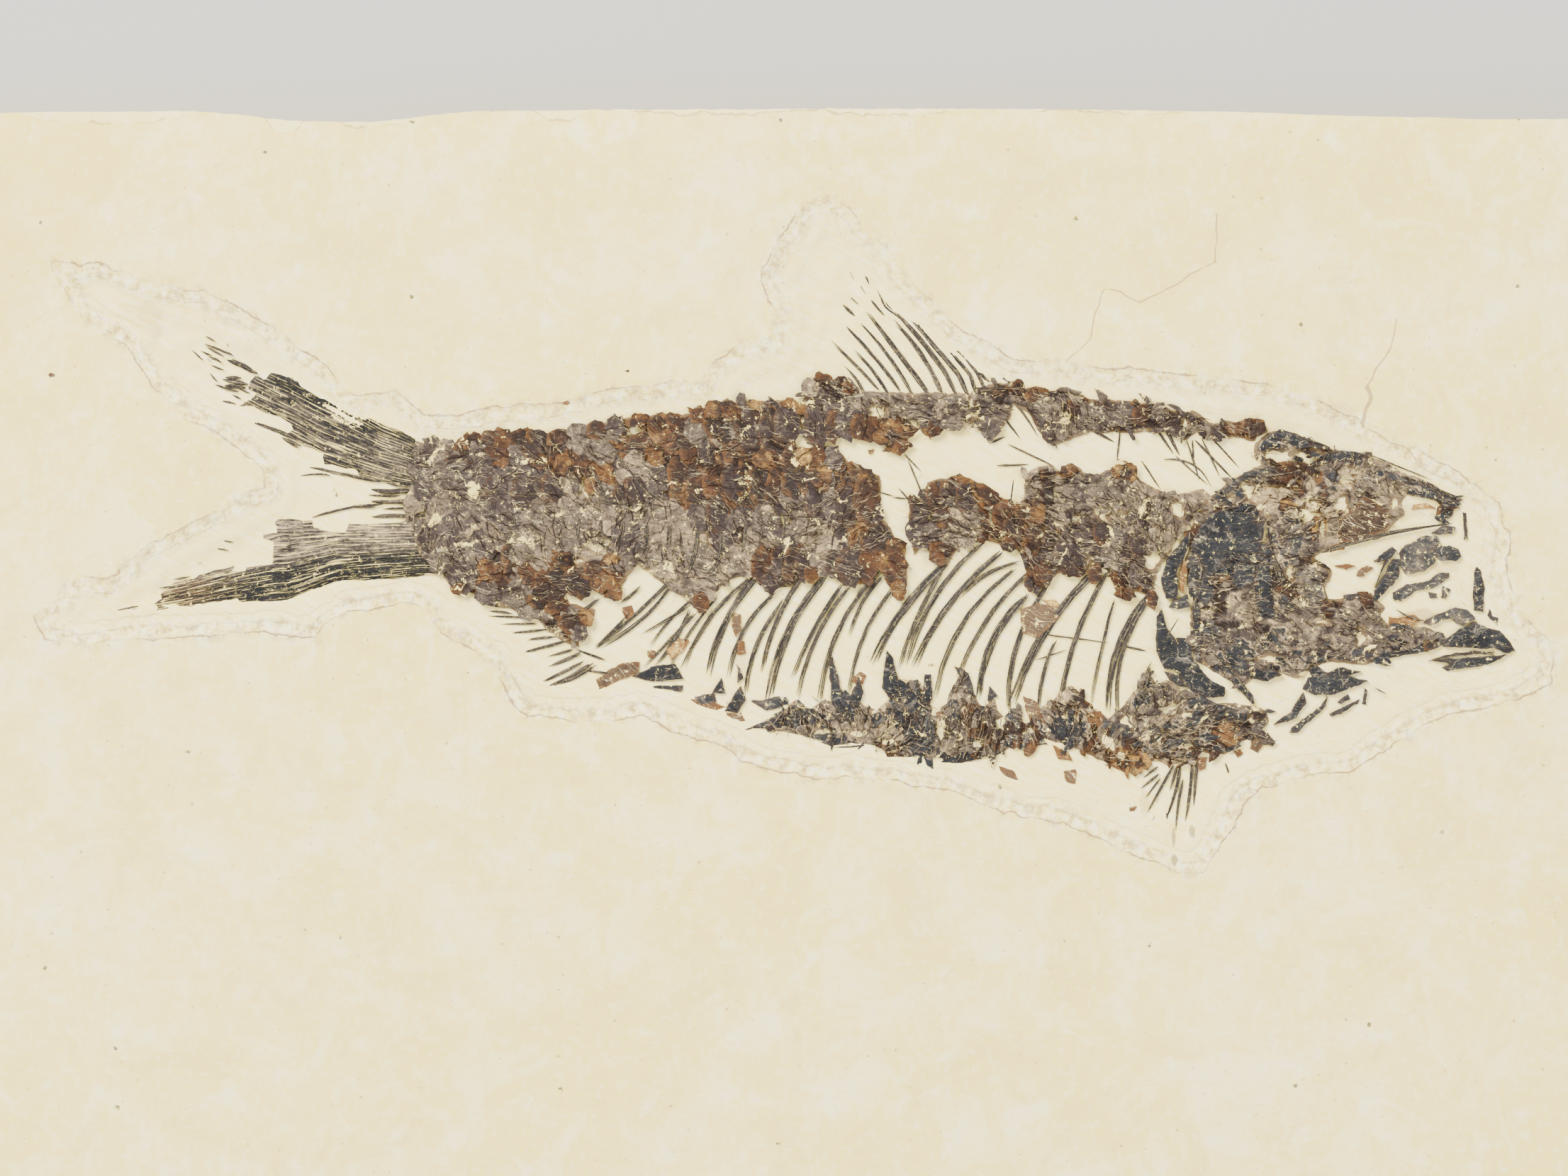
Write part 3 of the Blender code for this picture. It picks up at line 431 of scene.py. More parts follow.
def buildSlab():
    low, high = slabLow, slabHigh
    x0, x1, y0, y1 = slab["fineWindow"]
    xs = stepsAlong(low.x, high.x, x0, x1, slab["fineStep"], slab["coarseStep"])
    ys = stepsAlong(low.y, high.y, y0, y1, slab["fineStep"], slab["coarseStep"])
    px, py = np.meshgrid(xs, ys, indexing="ij")
    band = slab["edgeBand"]
    knots = pairs(topRim)
    topLine = np.interp(xs, [k[0] for k in knots], [k[1] for k in knots])
    topLine = topLine - 0.35 * (rimInset(xs, 21.0) - 0.55)
    pull = {
        "left": rimInset(ys, 3.0), "right": rimInset(ys, 7.0),
        "bottom": rimInset(xs, 11.0), "top": high.y - topLine,
    }

    def fade(distance):
        return np.clip(1.0 - distance / band, 0.0, 1.0)

    wx = px + fade(px - low.x) * pull["left"][None, :] - fade(high.x - px) * pull["right"][None, :]
    wy = py + fade(py - low.y) * pull["bottom"][:, None] - fade(high.y - py) * pull["top"][:, None]
    depth, bank = trenchDepth(wx, wy)
    rim = np.minimum(np.minimum(px - low.x, high.x - px), np.minimum(py - low.y, high.y - py))
    wear = 0.25 + 0.75 * smoothRise(noiseField(wx, wy, 6.0, 31.0), -0.1, 0.5)
    drop = slab["rimWear"] * wear * np.clip(1.0 - rim / 1.6, 0.0, 1.0) ** 2
    lumps = np.zeros(px.shape)
    for cx, cy, rx, ry in roughLobes:
        reach = np.hypot((wx - cx) / rx, (wy - cy) / ry)
        near = reach < 1.3
        x, y = wx[near], wy[near]
        rough = 0.16 * noiseField(x, y, 1.5, 8.0) + 0.1 * noiseField(x, y, 0.7, 2.0)
        lumps[near] += rough * np.clip(1.3 - reach[near], 0.0, 0.5) * 2.0
    inside = smoothRise(bank, 0.4, 2.0)
    face = slab["facePlay"] * noiseField(wx, wy, 17.0, 14.0) + 0.02 * noiseField(wx, wy, 4.0, 15.0)
    wz = high.z + face - depth - drop + lumps * (0.35 + 0.65 * inside)
    wz = np.minimum(wz, high.z + 0.12)

    verts = np.stack([wx, wy, wz], axis=-1).reshape(-1, 3)
    nx, ny = px.shape
    index = np.arange(nx * ny).reshape(nx, ny)
    faces = np.stack([index[:-1, :-1], index[1:, :-1], index[1:, 1:], index[:-1, 1:]], axis=-1)
    ring = np.concatenate([index[:, 0], index[-1, 1:], index[-2::-1, -1], index[0, -2:0:-1]])
    rows = [ring]
    points = [verts]
    inwards = -verts[ring][:, :2] / np.linalg.norm(verts[ring][:, :2], axis=1)[:, None]
    count = len(verts)
    topZ = verts[ring][:, 2]
    for row in range(1, slab["wallRows"] + 1):
        share = row / slab["wallRows"]
        z = topZ * (1.0 - share)
        rough = np.array([ripple(x, y, 0.45, h * 1.3) + 0.6 * ripple(x, y, 1.4, h * 3.0)
                          for (x, y), h in zip(verts[ring][:, :2], z)])
        lean = 0.35 * math.sin(share * math.pi)
        growing = math.sin(min(1.0, share * 1.3) * math.pi / 2)
        offset = slab["wallRoughness"] * (0.9 + rough) * growing - lean * 0.4
        side = verts[ring][:, :2] + inwards * np.maximum(offset, -0.05)[:, None]
        points.append(np.column_stack([side, z]))
        rows.append(np.arange(count, count + len(ring)))
        count += len(ring)
    allPoints = np.concatenate(points) * mm
    quads = [tuple(face) for face in faces.reshape(-1, 4)]
    for upper, lower in zip(rows, rows[1:]):
        a, b = upper, np.roll(upper, -1)
        c, d = np.roll(lower, -1), lower
        quads += [tuple(q) for q in np.stack([b, a, d, c], axis=-1)]
    quads.append(tuple(rows[-1][::-1]))
    mesh = bpy.data.meshes.new("slabStone")
    mesh.from_pydata([tuple(p) for p in allPoints], [], [tuple(int(i) for i in q) for q in quads])
    mesh.update()
    give(mesh, "bank", np.append(bank.reshape(-1), np.full(len(allPoints) - nx * ny, -20.0)))
    px, py = allPoints[:, 0] / mm, allPoints[:, 1] / mm
    names = "crack", "crackFelt", "markCover", "markStrength"
    *values, tint = *crackValues(px, py), *markValues(px, py)
    for name, value in zip(names, values):
        give(mesh, name, value)
    give(mesh, "markTint", tint, "FLOAT_VECTOR")
    mesh.shade_smooth()
    mesh.set_sharp_from_angle(angle=math.radians(50))
    print("slab:", len(mesh.vertices), "points")
    return stand("slabStone", mesh)


def limestone():
    kit = Finish("limestone")
    spot = kit.place()
    broad = kit.cloud(spot, 0.022, 3, 0.5)
    clouds = kit.cloud(kit.shifted(spot, (40, 9, 0)), 0.07, 4, 0.6, 0.4)
    small = kit.cloud(kit.shifted(spot, (3, 70, 0)), 0.33, 4, 0.6)
    grain = kit.cloud(spot, 3, 3, 0.7)
    kit.colour = kit.blend((broad * 0.5 + clouds * 0.7).rise(0.5, 0.74), paint["butter"], paint["cream"])
    kit.wash((clouds * 0.5 + small * 0.55).rise(0.52, 0.72) * 0.8, "blush")
    kit.wash(small.rise(0.56, 0.78) * 0.6, "chalk")
    blotch = kit.cloud(kit.shifted(spot, (60, 20, 0)), 0.16, 5, 0.68, 0.6)
    kit.wash(blotch.rise(0.5, 0.66) * 0.6, (0.93, 0.8, 0.43))
    kit.wash(blotch.rise(0.46, 0.33) * 0.6, (0.78, 0.62, 0.165))

    paper = kit.cloud(kit.shifted(spot, (5, 50, 0)), 1.1, 5, 0.72)
    kit.wash(paper.rise(0.53, 0.66) * 0.45, (0.8, 0.63, 0.19))
    kit.wash(paper.rise(0.44, 0.34) * 0.45, "chalk")

    # the scraped trench is paler, with thin tan lines where the bedding is cut
    bank = kit.attribute("bank") + (small - 0.5) * 0.7
    scraped = bank.rise(-0.3, 1.5)
    scratchSpot = kit.add("ShaderNodeVectorRotate", {"rotation_type": "Z_AXIS"},
        {"Vector": spot, "Angle": 0.5})
    scratches = kit.cloud(kit.scaled(scratchSpot, (0.35, 2.6, 1)), 1, 4, 0.7)
    pale = kit.blend(scratches.rise(0.4, 0.72), paint["cream"], paint["chalk"])
    kit.wash(scraped * 0.72, pale)
    fine = kit.cloud(kit.shifted(spot, (11, 0, 5)), 0.9, 4, 0.62)
    broken = kit.cloud(spot, 0.22, 2, 0.5)
    wander = bank + (fine - 0.5) * 0.55
    for at, width, strength in ((0.05, 0.11, 1), (1.1, 0.09, 0.5)):
        line = abs(wander - at).rise(width, width * 0.25) * broken.rise(0.36, 0.56) * strength
        kit.wash(line, "tan")
    crust = (1 - abs(wander - 0.7) / 1.1).clamp()
    kit.wash(crust * paper.rise(0.5, 0.4) * 0.8, (0.95, 0.88, 0.6))
    kit.wash(crust * paper.rise(0.52, 0.64) * 0.7, "tan")
    smear = (1 - abs(wander - 0.6) / 1.5).clamp() * fine.rise(0.5, 0.7) * 0.6
    kit.wash(smear, "tan")

    # rusty stain in the corner, past a straight joint
    joint = kit.part(spot, "X") * -0.85 + kit.part(spot, "Y") * 0.527 - 72.4
    stained = joint.rise(-0.6, 0.9) * (0.35 + 0.5 * clouds.rise(0.4, 0.66))
    kit.wash(stained, "ochre")
    long = kit.cloud(kit.scaled(kit.shifted(spot, (9, 9, 0)), (1, 0.45, 1)), 0.5, 5, 0.7)
    kit.wash(long.rise(0.63, 0.7) * (0.35 + 0.45 * joint.rise(0.2, 1.2)), "chalk")

    # specks, pale flecks and hairline cracks
    specks = ((0.16, 0.9, 0.035, "sepia", 0.8), (0.42, 0.94, 0.06, "umber", 0.5),
              (0.75, 0.93, 0.09, "tan", 0.5))
    for size, share, radius, shade, strength in specks:
        speck = kit.cells(spot, size)
        tints = kit.cells(spot, size, output="Color")
        chosen = kit.add("ShaderNodeSeparateColor", {}, {"Color": tints}, "Red")
        ragged = speck + (grain - 0.5) * 0.09
        kit.wash(ragged.rise(radius, radius * 0.5) * chosen.rise(share, share + 0.02) * strength, shade)
    mark = (kit.attribute("markCover") + (0.5 - fine) * 1.4).rise(0, 0.35) * kit.attribute("markStrength")
    kit.wash(mark, kit.attribute("markTint", "Vector"))
    # chips along the upper edge, each paler inside a thin lip
    stops = []
    for x, y, wide, tall in rimChips:
        deep = (51.9 - y + tall / 2) / 4
        for shift, share in ((-0.5, 0), (-0.2, deep), (0.2, deep), (0.5, 0)):
            stops.append(((x + shift * wide) / 150 + 0.5, (share, share, share)))
    deep = kit.ramp(kit.part(spot, "X") / 150 + 0.5, stops)
    chip = deep * 4 + kit.part(spot, "Y") - 51.9 + (small - 0.5) * 0.8 + (fine - 0.5) * 0.7
    kit.wash(chip.rise(0, 0.15) * 0.35, "chalk")
    kit.wash(abs(chip).rise(0.12, 0.03) * broken.rise(0.4, 0.55) * 0.6, "tan")
    crack = abs(kit.attribute("crack")).rise(1.3, 0.5) * kit.attribute("crackFelt")
    kit.wash(crack * fine.rise(0.25, 0.45) * 0.85, "tan")

    # the broken rim shows its bedding
    kit.span = "3D"
    z = kit.part(spot, "Z")
    wall = z.rise(level["face"] - 0.3, level["face"] - 1) * (1 - scraped)
    layers = kit.cloud(kit.scaled(spot, (0.09, 0.09, 1.9)), 1, 5, 0.66)
    bed = kit.blend(layers.rise(0.4, 0.6), paint["cream"], paint["butter"])
    bed = kit.blend(layers.rise(0.56, 0.68) * 0.45, bed, paint["tan"])
    kit.wash(wall * 0.85, bed)
    kit.wash(grain.rise(0.3, 0.75) * 0.12, "chalk")

    height = (grain * 0.35 + fine * 0.6) * (1 - wall) + layers * wall * 2.4
    cut = (wander / 0.9).math("FRACT").rise(0, 0.16) * wander.rise(-0.4, 0.2) * wander.rise(3.2, 2.4) * 0.8
    return kit.finish(0.88 - 0.1 * fine, 0.25, height + cut)


slabStone = buildSlab()
slabStone.data.materials.append(limestone())
place(slabStone, "limestone", ["limestone_slab"])


# plates: anything cut to an outline, with a closed underside sunk in the stone
def ragged(loop, step, play, seed):
    # the outline in short steps, its corners rubbed and its run roughened
    out = []
    for (ax, ay), (bx, by) in zip(loop, loop[1:] + loop[:1]):
        count = max(1, round(math.hypot(bx - ax, by - ay) / step))
        for i in range(count):
            x, y = ax + (bx - ax) * i / count, ay + (by - ay) * i / count
            dx = ripple(x, y, 0.9, seed) * 0.6 + ripple(x, y, 2.7, seed + 3.0) * 0.4
            dy = ripple(x, y, 0.9, seed + 50.0) * 0.6 + ripple(x, y, 2.7, seed + 53.0) * 0.4
            out.append((x + dx * play * 2.0, y + dy * play * 2.0))
    return out


def blob(x, y, wide, tall, seed, count=12):
    loop = []
    for i in range(count):
        turn = math.tau * i / count
        reach = 0.5 * (0.95 + 1.2 * noise.noise((math.cos(turn) * 1.6 + x, math.sin(turn) * 1.6 + y, seed)))
        loop.append((x + wide * reach * math.cos(turn), y + tall * reach * math.sin(turn)))
    return loop


def roomIn(px, py, loops):
    # how far inside the first loop and outside the others
    room = signedDistance(px, py, loops[0])
    for loop in loops[1:]:
        room = np.minimum(room, -signedDistance(px, py, loop))
    return room


def plateParts(outline, height, holes, step, play, seed):
    loops = [ragged(loop, step, play, seed + i) for i, loop in enumerate([outline, *holes])]
    points, edges = [], []
    for loop in loops:
        start, size = len(points), len(loop)
        points += loop
        edges += [(start + i, start + (i + 1) % size) for i in range(size)]
    xs, ys = zip(*loops[0])
    gx, gy = np.meshgrid(np.arange(min(xs), max(xs), step), np.arange(min(ys), max(ys), step * 0.866),
        indexing="ij")
    gx = gx + (np.arange(gx.shape[1])[None, :] % 2) * step / 2
    gx, gy = gx.ravel(), gy.ravel()
    gx = gx + 0.25 * step * np.sin(gy * 37.0 + gx * 11.0)
    keep = roomIn(gx, gy, loops) > step * 0.45
    points += list(zip(gx[keep].tolist(), gy[keep].tolist()))
    flat, _, triangles, *_ = geometry.delaunay_2d_cdt([Vector(p) for p in points], edges, [], 0, 1e-5)
    px, py = np.array([tuple(p) for p in flat]).T
    corners = np.array(triangles)
    corners = corners[roomIn(px[corners].mean(axis=1), py[corners].mean(axis=1), loops) > 0]
    rim = np.maximum(roomIn(px, py, loops), 0.0)
    top = height(px, py, rim)
    used = np.unique(corners)
    renumber = np.full(len(px), -1)
    renumber[used] = np.arange(len(used))
    corners = renumber[corners]
    px, py, rim, top = px[used], py[used], rim[used], top[used]
    (ax, bx, cx), (ay, by, cy) = px[corners].T, py[corners].T
    wrong = (bx - ax) * (cy - ay) < (by - ay) * (cx - ax)
    corners[wrong] = corners[wrong][:, ::-1]
    count = len(used)
    faces = [tuple(int(i) for i in face) for face in corners]
    seen = dict.fromkeys(edge for a, b, c in faces for edge in ((a, b), (b, c), (c, a)))
    sides = [(b, a, a + count, b + count) for a, b in seen if (b, a) not in seen]
    bottom = [(c + count, b + count, a + count) for a, b, c in faces]
    verts = list(zip(px.tolist(), py.tolist(), top.tolist()))
    verts += [(x, y, level["sunk"]) for x, y, _ in verts]
    return verts, faces + sides + bottom, np.concatenate([rim, rim * 0.0])


def plate(name, outline, height, holes, step, play, seed):
    verts, faces, rim = plateParts(outline, height, holes, step, play, seed)
    piece = newPiece(name, verts, faces)
    give(piece.data, "rim", rim)
    return piece


def bonePlates(name, outlines, slotName, nodes, seed, material=None, step=0.24, crown=0.1):
    # several plates in one piece; each is its tone, its height and its outline
    verts, faces, rims, tones, lucks = [], [], [], [], []
    for number, (tone, height, *flat) in enumerate(outlines):
        def shape(px, py, rim, height=height):
            dome = crown * np.sqrt(np.clip(rim / 1.2, 0.0, 1.0))
            play = 0.05 * noiseField(px, py, 0.9, seed) + 0.02 * noiseField(px, py, 0.35, seed)
            return height - crown + dome + play

        v, f, r = plateParts(pairs(flat), shape, (), step, 0.1, seed + number)
        start = len(verts)
        verts += v
        faces += [tuple(i + start for i in face) for face in f]
        rims.append(r)
        tones += [tone] * len(v)
        lucks += [noise.noise((number * 1.7, seed, 0.5)) * 0.5 + 0.5] * len(v)
    piece = newPiece(name, verts, faces)
    give(piece.data, "rim", np.concatenate(rims))
    give(piece.data, "tone", tones)
    give(piece.data, "luck", lucks)
    piece.data.materials.append(material or boneStuff)
    place(piece, slotName, nodes)


# scales and flakes, each coloured by a number: -0.3 is slate, 0 pale bone, 0.5 plum, 1 honey
toneOf = {"slate": -0.3, "bone": 0.0, "dust": 0.12, "ash": 0.25, "lilac": 0.38, "plum": 0.5,
          "sepia": 0.6, "umber": 0.7, "rust": 0.8, "amber": 0.9, "honey": 1.0}
toneStops = ((0.0, (0.42, 0.3, 0.15)), (0.12, (0.19, 0.138, 0.084)), (0.25, (0.1, 0.075, 0.051)),
             (0.38, (0.06, 0.0445, 0.037)), (0.5, (0.027, 0.0175, 0.016)), (0.6, (0.012, 0.007, 0.0045)),
             (0.7, (0.033, 0.0145, 0.0075)), (0.8, (0.058, 0.0225, 0.0085)),
             (0.9, (0.115, 0.05, 0.014)), (1.0, (0.33, 0.185, 0.045)))
scaleLay = {
    "across": 1.85,        # between rows
    "along": 1.45,         # between scales in a row
    "lift": 0.04,          # above the skin
    "lie": -35.0,          # which way torn fibres run, unless a body says otherwise
    "ragged": 0.0006,
}


def scaleShapes():
    # plates a millimetre across: whole, broken and worn scales, a splinter, a shard, and two bent fibres
    shapes = []
    kinds = (("whole", 16, 0.16), ("broken", 16, 0.42), ("worn", 16, 0.28), ("splinter", 12, 0.46),
             ("shard", 7, 0.46))  # points around, and how deep the rim is bitten
    for seed, (kind, around, bite) in enumerate(kinds):
        verts, uvs = [(0.0, 0.0, 0.03)], [(0.0, 0.0)]
        for reach, lift in ((0.84, 0.022), (1.0, 0.0), (0.97, -0.07)):
            for i in range(around):
                a = math.tau * i / around
                c, s = math.cos(a), math.sin(a)
                r = reach * (1.0 + 2.0 * bite * noise.noise((c * 2.9 + 5.0, s * 2.9, seed + 1.0)))
                square = (abs(c) ** 3 + abs(s) ** 3) ** (-1 / 3) if bite < 0.2 else 1.0
                verts.append((0.5 * r * square * c, 0.5 * r * square * s, lift))
                uvs.append((c * reach, s * reach))
        faces = [(0, 1 + i, 1 + (i + 1) % around) for i in range(around)]
        for start in (1, 1 + around):
            for i in range(around):
                j = (i + 1) % around
                faces.append((start + i, start + around + i, start + around + j, start + j))
        faces.append(tuple(1 + 2 * around + i for i in range(around))[::-1])
        shapes.append((kind, verts, faces, uvs))
    for kind, bend in (("fibre", 0.07), ("bentFibre", -0.16)):
        verts = []
        for i in range(6):
            t = i / 5 - 0.5
            across = bend * (1.0 - 4.0 * t * t)
            thick = 0.5 * (1.0 - 3.2 * t * t)
            side = 0.06 * thick
            verts += [(t, across - side, -0.03), (t, across, 0.05 * thick), (t, across + side, -0.03)]
        faces = [(0, 1, 2), (17, 16, 15)]
        for i in range(0, 15, 3):
            faces += [(i, i + 3, i + 4, i + 1), (i + 1, i + 4, i + 5, i + 2), (i + 2, i + 5, i + 3, i)]
        shapes.append((kind, verts, faces, [(0.0, 0.0)] * len(verts)))
    return [shapeObject(*shape) for shape in shapes]


def shapeObject(kind, verts, faces, uvs):
    mesh = bpy.data.meshes.new(kind + "Scale")
    mesh.from_pydata([tuple(c * mm for c in v) for v in verts], [], faces)
    layer = mesh.uv_layers.new(name="grain")
    for loop in mesh.loops:
        layer.data[loop.index].uv = uvs[loop.vertex_index]
    mesh.shade_smooth()
    mesh.set_sharp_from_angle(angle=math.radians(40))
    return bpy.data.objects.new(kind + "Scale", mesh)


def scatterGroup(name, shapes):
    kit = Growth(name)
    cloud = kit.input("Geometry")
    library = kit.tree.nodes.new("GeometryNodeGeometryToInstance")
    for shape in reversed(shapes):
        info = kit.add("GeometryNodeObjectInfo", {}, {"Object": shape, "As Instance": True}, "Geometry")
        kit.tree.links.new(info.socket, library.inputs[0])
    turn = kit.add("FunctionNodeEulerToRotation", {}, {0: kit.named("turn", "FLOAT_VECTOR")})
    size = kit.named("size", "FLOAT_VECTOR")
    values = {"Points": cloud, "Instance": Sock(kit, library.outputs[0]), "Pick Instance": True,
              "Instance Index": kit.named("shape", "INT"), "Rotation": turn, "Scale": size}
    flock = kit.add("GeometryNodeInstanceOnPoints", {}, values)
    flock = kit.add("GeometryNodeRealizeInstances", {}, {"Geometry": flock})
    spot = kit.add("GeometryNodeInputPosition", {}, {})
    shake = kit.swirl(spot, kit.input("Raggedness scale"))
    offset = kit.add("ShaderNodeVectorMath", {"operation": "SCALE"},
        {0: shake, "Scale": kit.input("Raggedness")})
    flock = kit.add("GeometryNodeSetPosition", {},
        {"Geometry": flock, "Offset": kit.scaled(offset, (1.0, 1.0, 0.08))})
    kit.close(flock)
    return kit


def pointMesh(name, rows):
    # rows of x, y, z, width, height, turn, tilt, roll, shape, tone
    mesh = bpy.data.meshes.new(name)
    mesh.from_pydata([(r[0] * mm, r[1] * mm, r[2] * mm) for r in rows], [], [])
    give(mesh, "size", [(r[3], r[4], 0.6) for r in rows], "FLOAT_VECTOR")
    give(mesh, "turn", [[math.radians(r[i]) for i in (7, 6, 5)] for r in rows], "FLOAT_VECTOR")
    give(mesh, "shape", [r[8] for r in rows], "INT")
    give(mesh, "tone", [r[9] for r in rows])
    give(mesh, "luck", [noise.noise((r[0] * 3.1, r[1] * 2.7, 5.0)) * 0.5 + 0.5 for r in rows])
    return mesh


def clearOf(x, y, gaps, margin):
    return all(((x - gx) / (w / 2 + margin)) ** 2 + ((y - gy) / (h / 2 + margin)) ** 2 > 1.0
               for gx, gy, w, h in gaps)


def scaleRows(body, rng, height):
    # rows of scales that cover the outline, then the ones placed one by one
    across, along = scaleLay["across"], scaleLay["along"]
    outline = pairs(body["edge"])
    xs, ys = body["edge"][::2], body["edge"][1::2]
    chosen = body["scales"]
    spots = []
    row = 0
    y = min(ys)
    while y < max(ys):
        x = min(xs) + (row % 2) * along / 2
        while x < max(xs):
            spots.append((x + rng.uniform(-0.22, 0.22) * along, y + rng.uniform(-0.2, 0.2) * across))
            x += along
        y += across
        row += 1
    room = signedDistance(*np.array(spots).T, outline)
    rows = []
    for (x, y), inside in zip(spots, room):
        near = min(math.hypot(x - c[0], (y - c[1]) * 0.7) for c in chosen)
        if inside < 0.45 or near < 0.7 or not clearOf(x, y, body["gaps"], 0.15):
            continue
        tone = toneOf[rng.choice(zoneAt(body["zones"], x, y))] + rng.uniform(-0.035, 0.035)
        small = min(1.0, 0.55 + inside * 0.35)
        wide, tall = (side * rng.uniform(0.8, 1.2) * small for side in body["size"])
        rows.append((x, y, height + rng.uniform(-0.02, 0.03), wide, tall, rng.uniform(-30, 30),
            rng.uniform(0.3, 2.0), rng.uniform(-1.5, 1.5), rng.choice((1, 1, 2, 2, 3)), tone))
    for x, y, wide, tall, turn, tone in chosen:
        rows.append((x, y, height + 0.035 + rng.uniform(0.0, 0.04), wide * 1.12, tall * 1.08,
            turn + rng.uniform(-5, 5), rng.uniform(0.3, 2.0), rng.uniform(-1.5, 1.5),
            rng.choice((0, 2, 1, 2)), toneOf[tone] + rng.uniform(-0.02, 0.02)))
    return rows


def strewn(edge, count, rng, margin):
    xs, ys = edge[::2], edge[1::2]
    spots = [(rng.uniform(min(xs), max(xs)), rng.uniform(min(ys), max(ys))) for _ in range(count)]
    room = signedDistance(*np.array(spots).T, pairs(edge))
    return [spot for spot, inside in zip(spots, room) if inside > margin]


def zoneAt(zones, x, y):
    return min(zones, key=lambda z: math.hypot(x - z[0], y - z[1]) / z[2])[3].split()


def shardRows(body, rng, height):
    # small broken bits strewn over the scales, more or less along the lie
    rows = []
    lie = body.get("lie", scaleLay["lie"])
    for x, y in strewn(body["edge"], body["shards"], rng, 0.0):
        tone = toneOf[rng.choice(zoneAt(body["zones"], x, y))] + rng.uniform(-0.14, 0.08)
        size = rng.uniform(0.4, 1.5)
        rows.append((x, y, height + rng.uniform(-0.02, 0.06), size * 1.3, size * rng.uniform(0.2, 0.8),
            lie + rng.gauss(0.0, 28.0), rng.uniform(-2, 2), rng.uniform(-2, 2), rng.choice((3, 3, 4)), tone))
    return rows


def fibreRows(body, rng, height):
    # hair-fine bones and torn skin, dark and pale, mostly running one way in each place
    rows = []
    lie, seed = body.get("lie", scaleLay["lie"]), body["seed"] + 2
    for x, y in strewn(body["edge"], body["shards"] * 3, rng, 0.35):
        if not clearOf(x, y, body["gaps"], -0.1):
            continue
        turn = lie + 150.0 * noise.noise((x * 0.11, y * 0.16, seed)) + rng.uniform(-28, 28)
        length = rng.uniform(0.8, 2.4)
        rows.append((x, y, height + rng.uniform(0.06, 0.14), length, rng.uniform(0.4, 1.1), turn, 0.0, 0.0,
                     rng.choice((5, 6)), rng.choice((0.02, 0.1, 0.24, 0.57, 0.62, 0.66))))
    return rows


def crushed(kit, spot, brown, fibres):
    # shared by scales and skin, so that it runs on from one to the other: hairs, specks and windows of stone
    grain = kit.cloud(spot, 4.5, 3, 0.7)
    bent = kit.warped(spot, 0.5, 2.6)
    bend = kit.warped(spot, 0.3, 1.6)
    gather = kit.cloud(kit.shifted(spot, (70, 0, 0)), 0.45, 3, 0.6).rise(0.42, 0.58)
    smear = kit.cloud(kit.scaled(bent, (0.8, 1.5, 1)), 1.5, 5, 0.74)
    murk = kit.cloud(kit.shifted(bent, (0, 80, 0)), 0.5, 5, 0.7)
    cool = kit.attribute("tone").rise(-0.05, -0.14)
    stops = ((0.3, (0.009, 0.0105, 0.013)), (0.5, (0.024, 0.0265, 0.03)), (0.66, (0.07, 0.068, 0.066)))
    kit.wash(cool, kit.ramp(murk, stops))
    kit.wash(murk.rise(0.5, 0.62) * (0.45 + brown * 0.45), (0.022, 0.013, 0.01))
    kit.wash((smear + (grain - 0.5) * 0.2).rise(0.49, 0.38) * (0.72 - brown * 0.2), (0.024, 0.0165, 0.013))
    kit.wash((smear + (grain - 0.5) * 0.2).rise(0.56, 0.72) * (0.62 - brown * 0.5), (0.36, 0.27, 0.155))
    for turn, shift, share, tint in ((0.75, 3, 0.8, "ink"), (-0.5, 31, 0.35, "dust"),
                                     (1.35, 57, 0.7, "sepia"), (0.2, 91, 0.45, "blush")):
        hairs = kit.hairs(kit.shifted(bend, (shift, shift, 0)), turn) * gather
        kit.wash(hairs * (share - brown * share * 0.4), tint)
    flecks = kit.cloud(kit.shifted(spot, (0, 7, 9)), 1.5, 5, 0.76) - brown * 0.045
    window = kit.cloud(kit.shifted(bent, (40, 7, 9)), 0.42, 5, 0.72) - brown * 0.03
    torn = (window + (smear - 0.5) * 0.22 + (grain - 0.5) * 0.1).rise(0.635, 0.66)
    opened = flecks.rise(0.63, 0.655).math("MAXIMUM", torn)
    kit.wash(opened * 0.95, "cream")
    return fibres + smear * 1.4 + grain * 0.6, grain


def scaleFinish():
    kit = Finish("fossilScales")
    spot = kit.place()
    luck = kit.attribute("luck")
    own = kit.shifted(spot, kit.scaled(kit.joined(luck, luck, luck), (90, 57, 31)))
    uv = kit.add("ShaderNodeUVMap", {"uv_map": "grain"}, {})
    u, v = kit.part(uv, "X"), kit.part(uv, "Y")
    reach = kit.vector("LENGTH", uv, (0, 0, 0), "Value")
    # fibres fan out from the front of each scale
    angle = v.math("ARCTAN2", 1.7 - u)
    fan = kit.joined(angle * 9 + luck * 40, (u + luck * 7) * 0.9, 0)
    fibres = kit.cloud(fan, 1.5, 4, 0.72, 0.8)
    patch = kit.cloud(own, 0.75, 4, 0.66)
    tone = kit.attribute("tone")
    shifted = tone + (patch - 0.5) * 0.4 + (fibres - 0.5) * 0.22
    kit.colour = kit.ramp(shifted.clamp(), toneStops)
    # amber shows where the free edge thins out; a painted shadow line darkens the rim where the next scale
    # lies over it
    brown = tone.rise(0.43, 0.56)
    free = (0.4 - u * 0.7 + (patch - 0.5) * 2.2).clamp()
    margin = (reach + (patch - 0.5) * 0.9).rise(0.45, 1) * brown * free
    kit.wash(margin * 0.8, "amber")
    # painted shadow: the sepia ring round each scale's rim stands in for the shade cast by the overlapping
    # scale
    kit.wash(reach.rise(0.84, 1) * (0.15 + 0.5 * brown) * patch.rise(0.55, 0.45), "sepia")
    bump, grain = crushed(kit, spot, brown, fibres)
    return kit.finish(0.58 - 0.2 * brown + (grain - 0.5) * 0.2, 0.14, bump, strength=0.95)


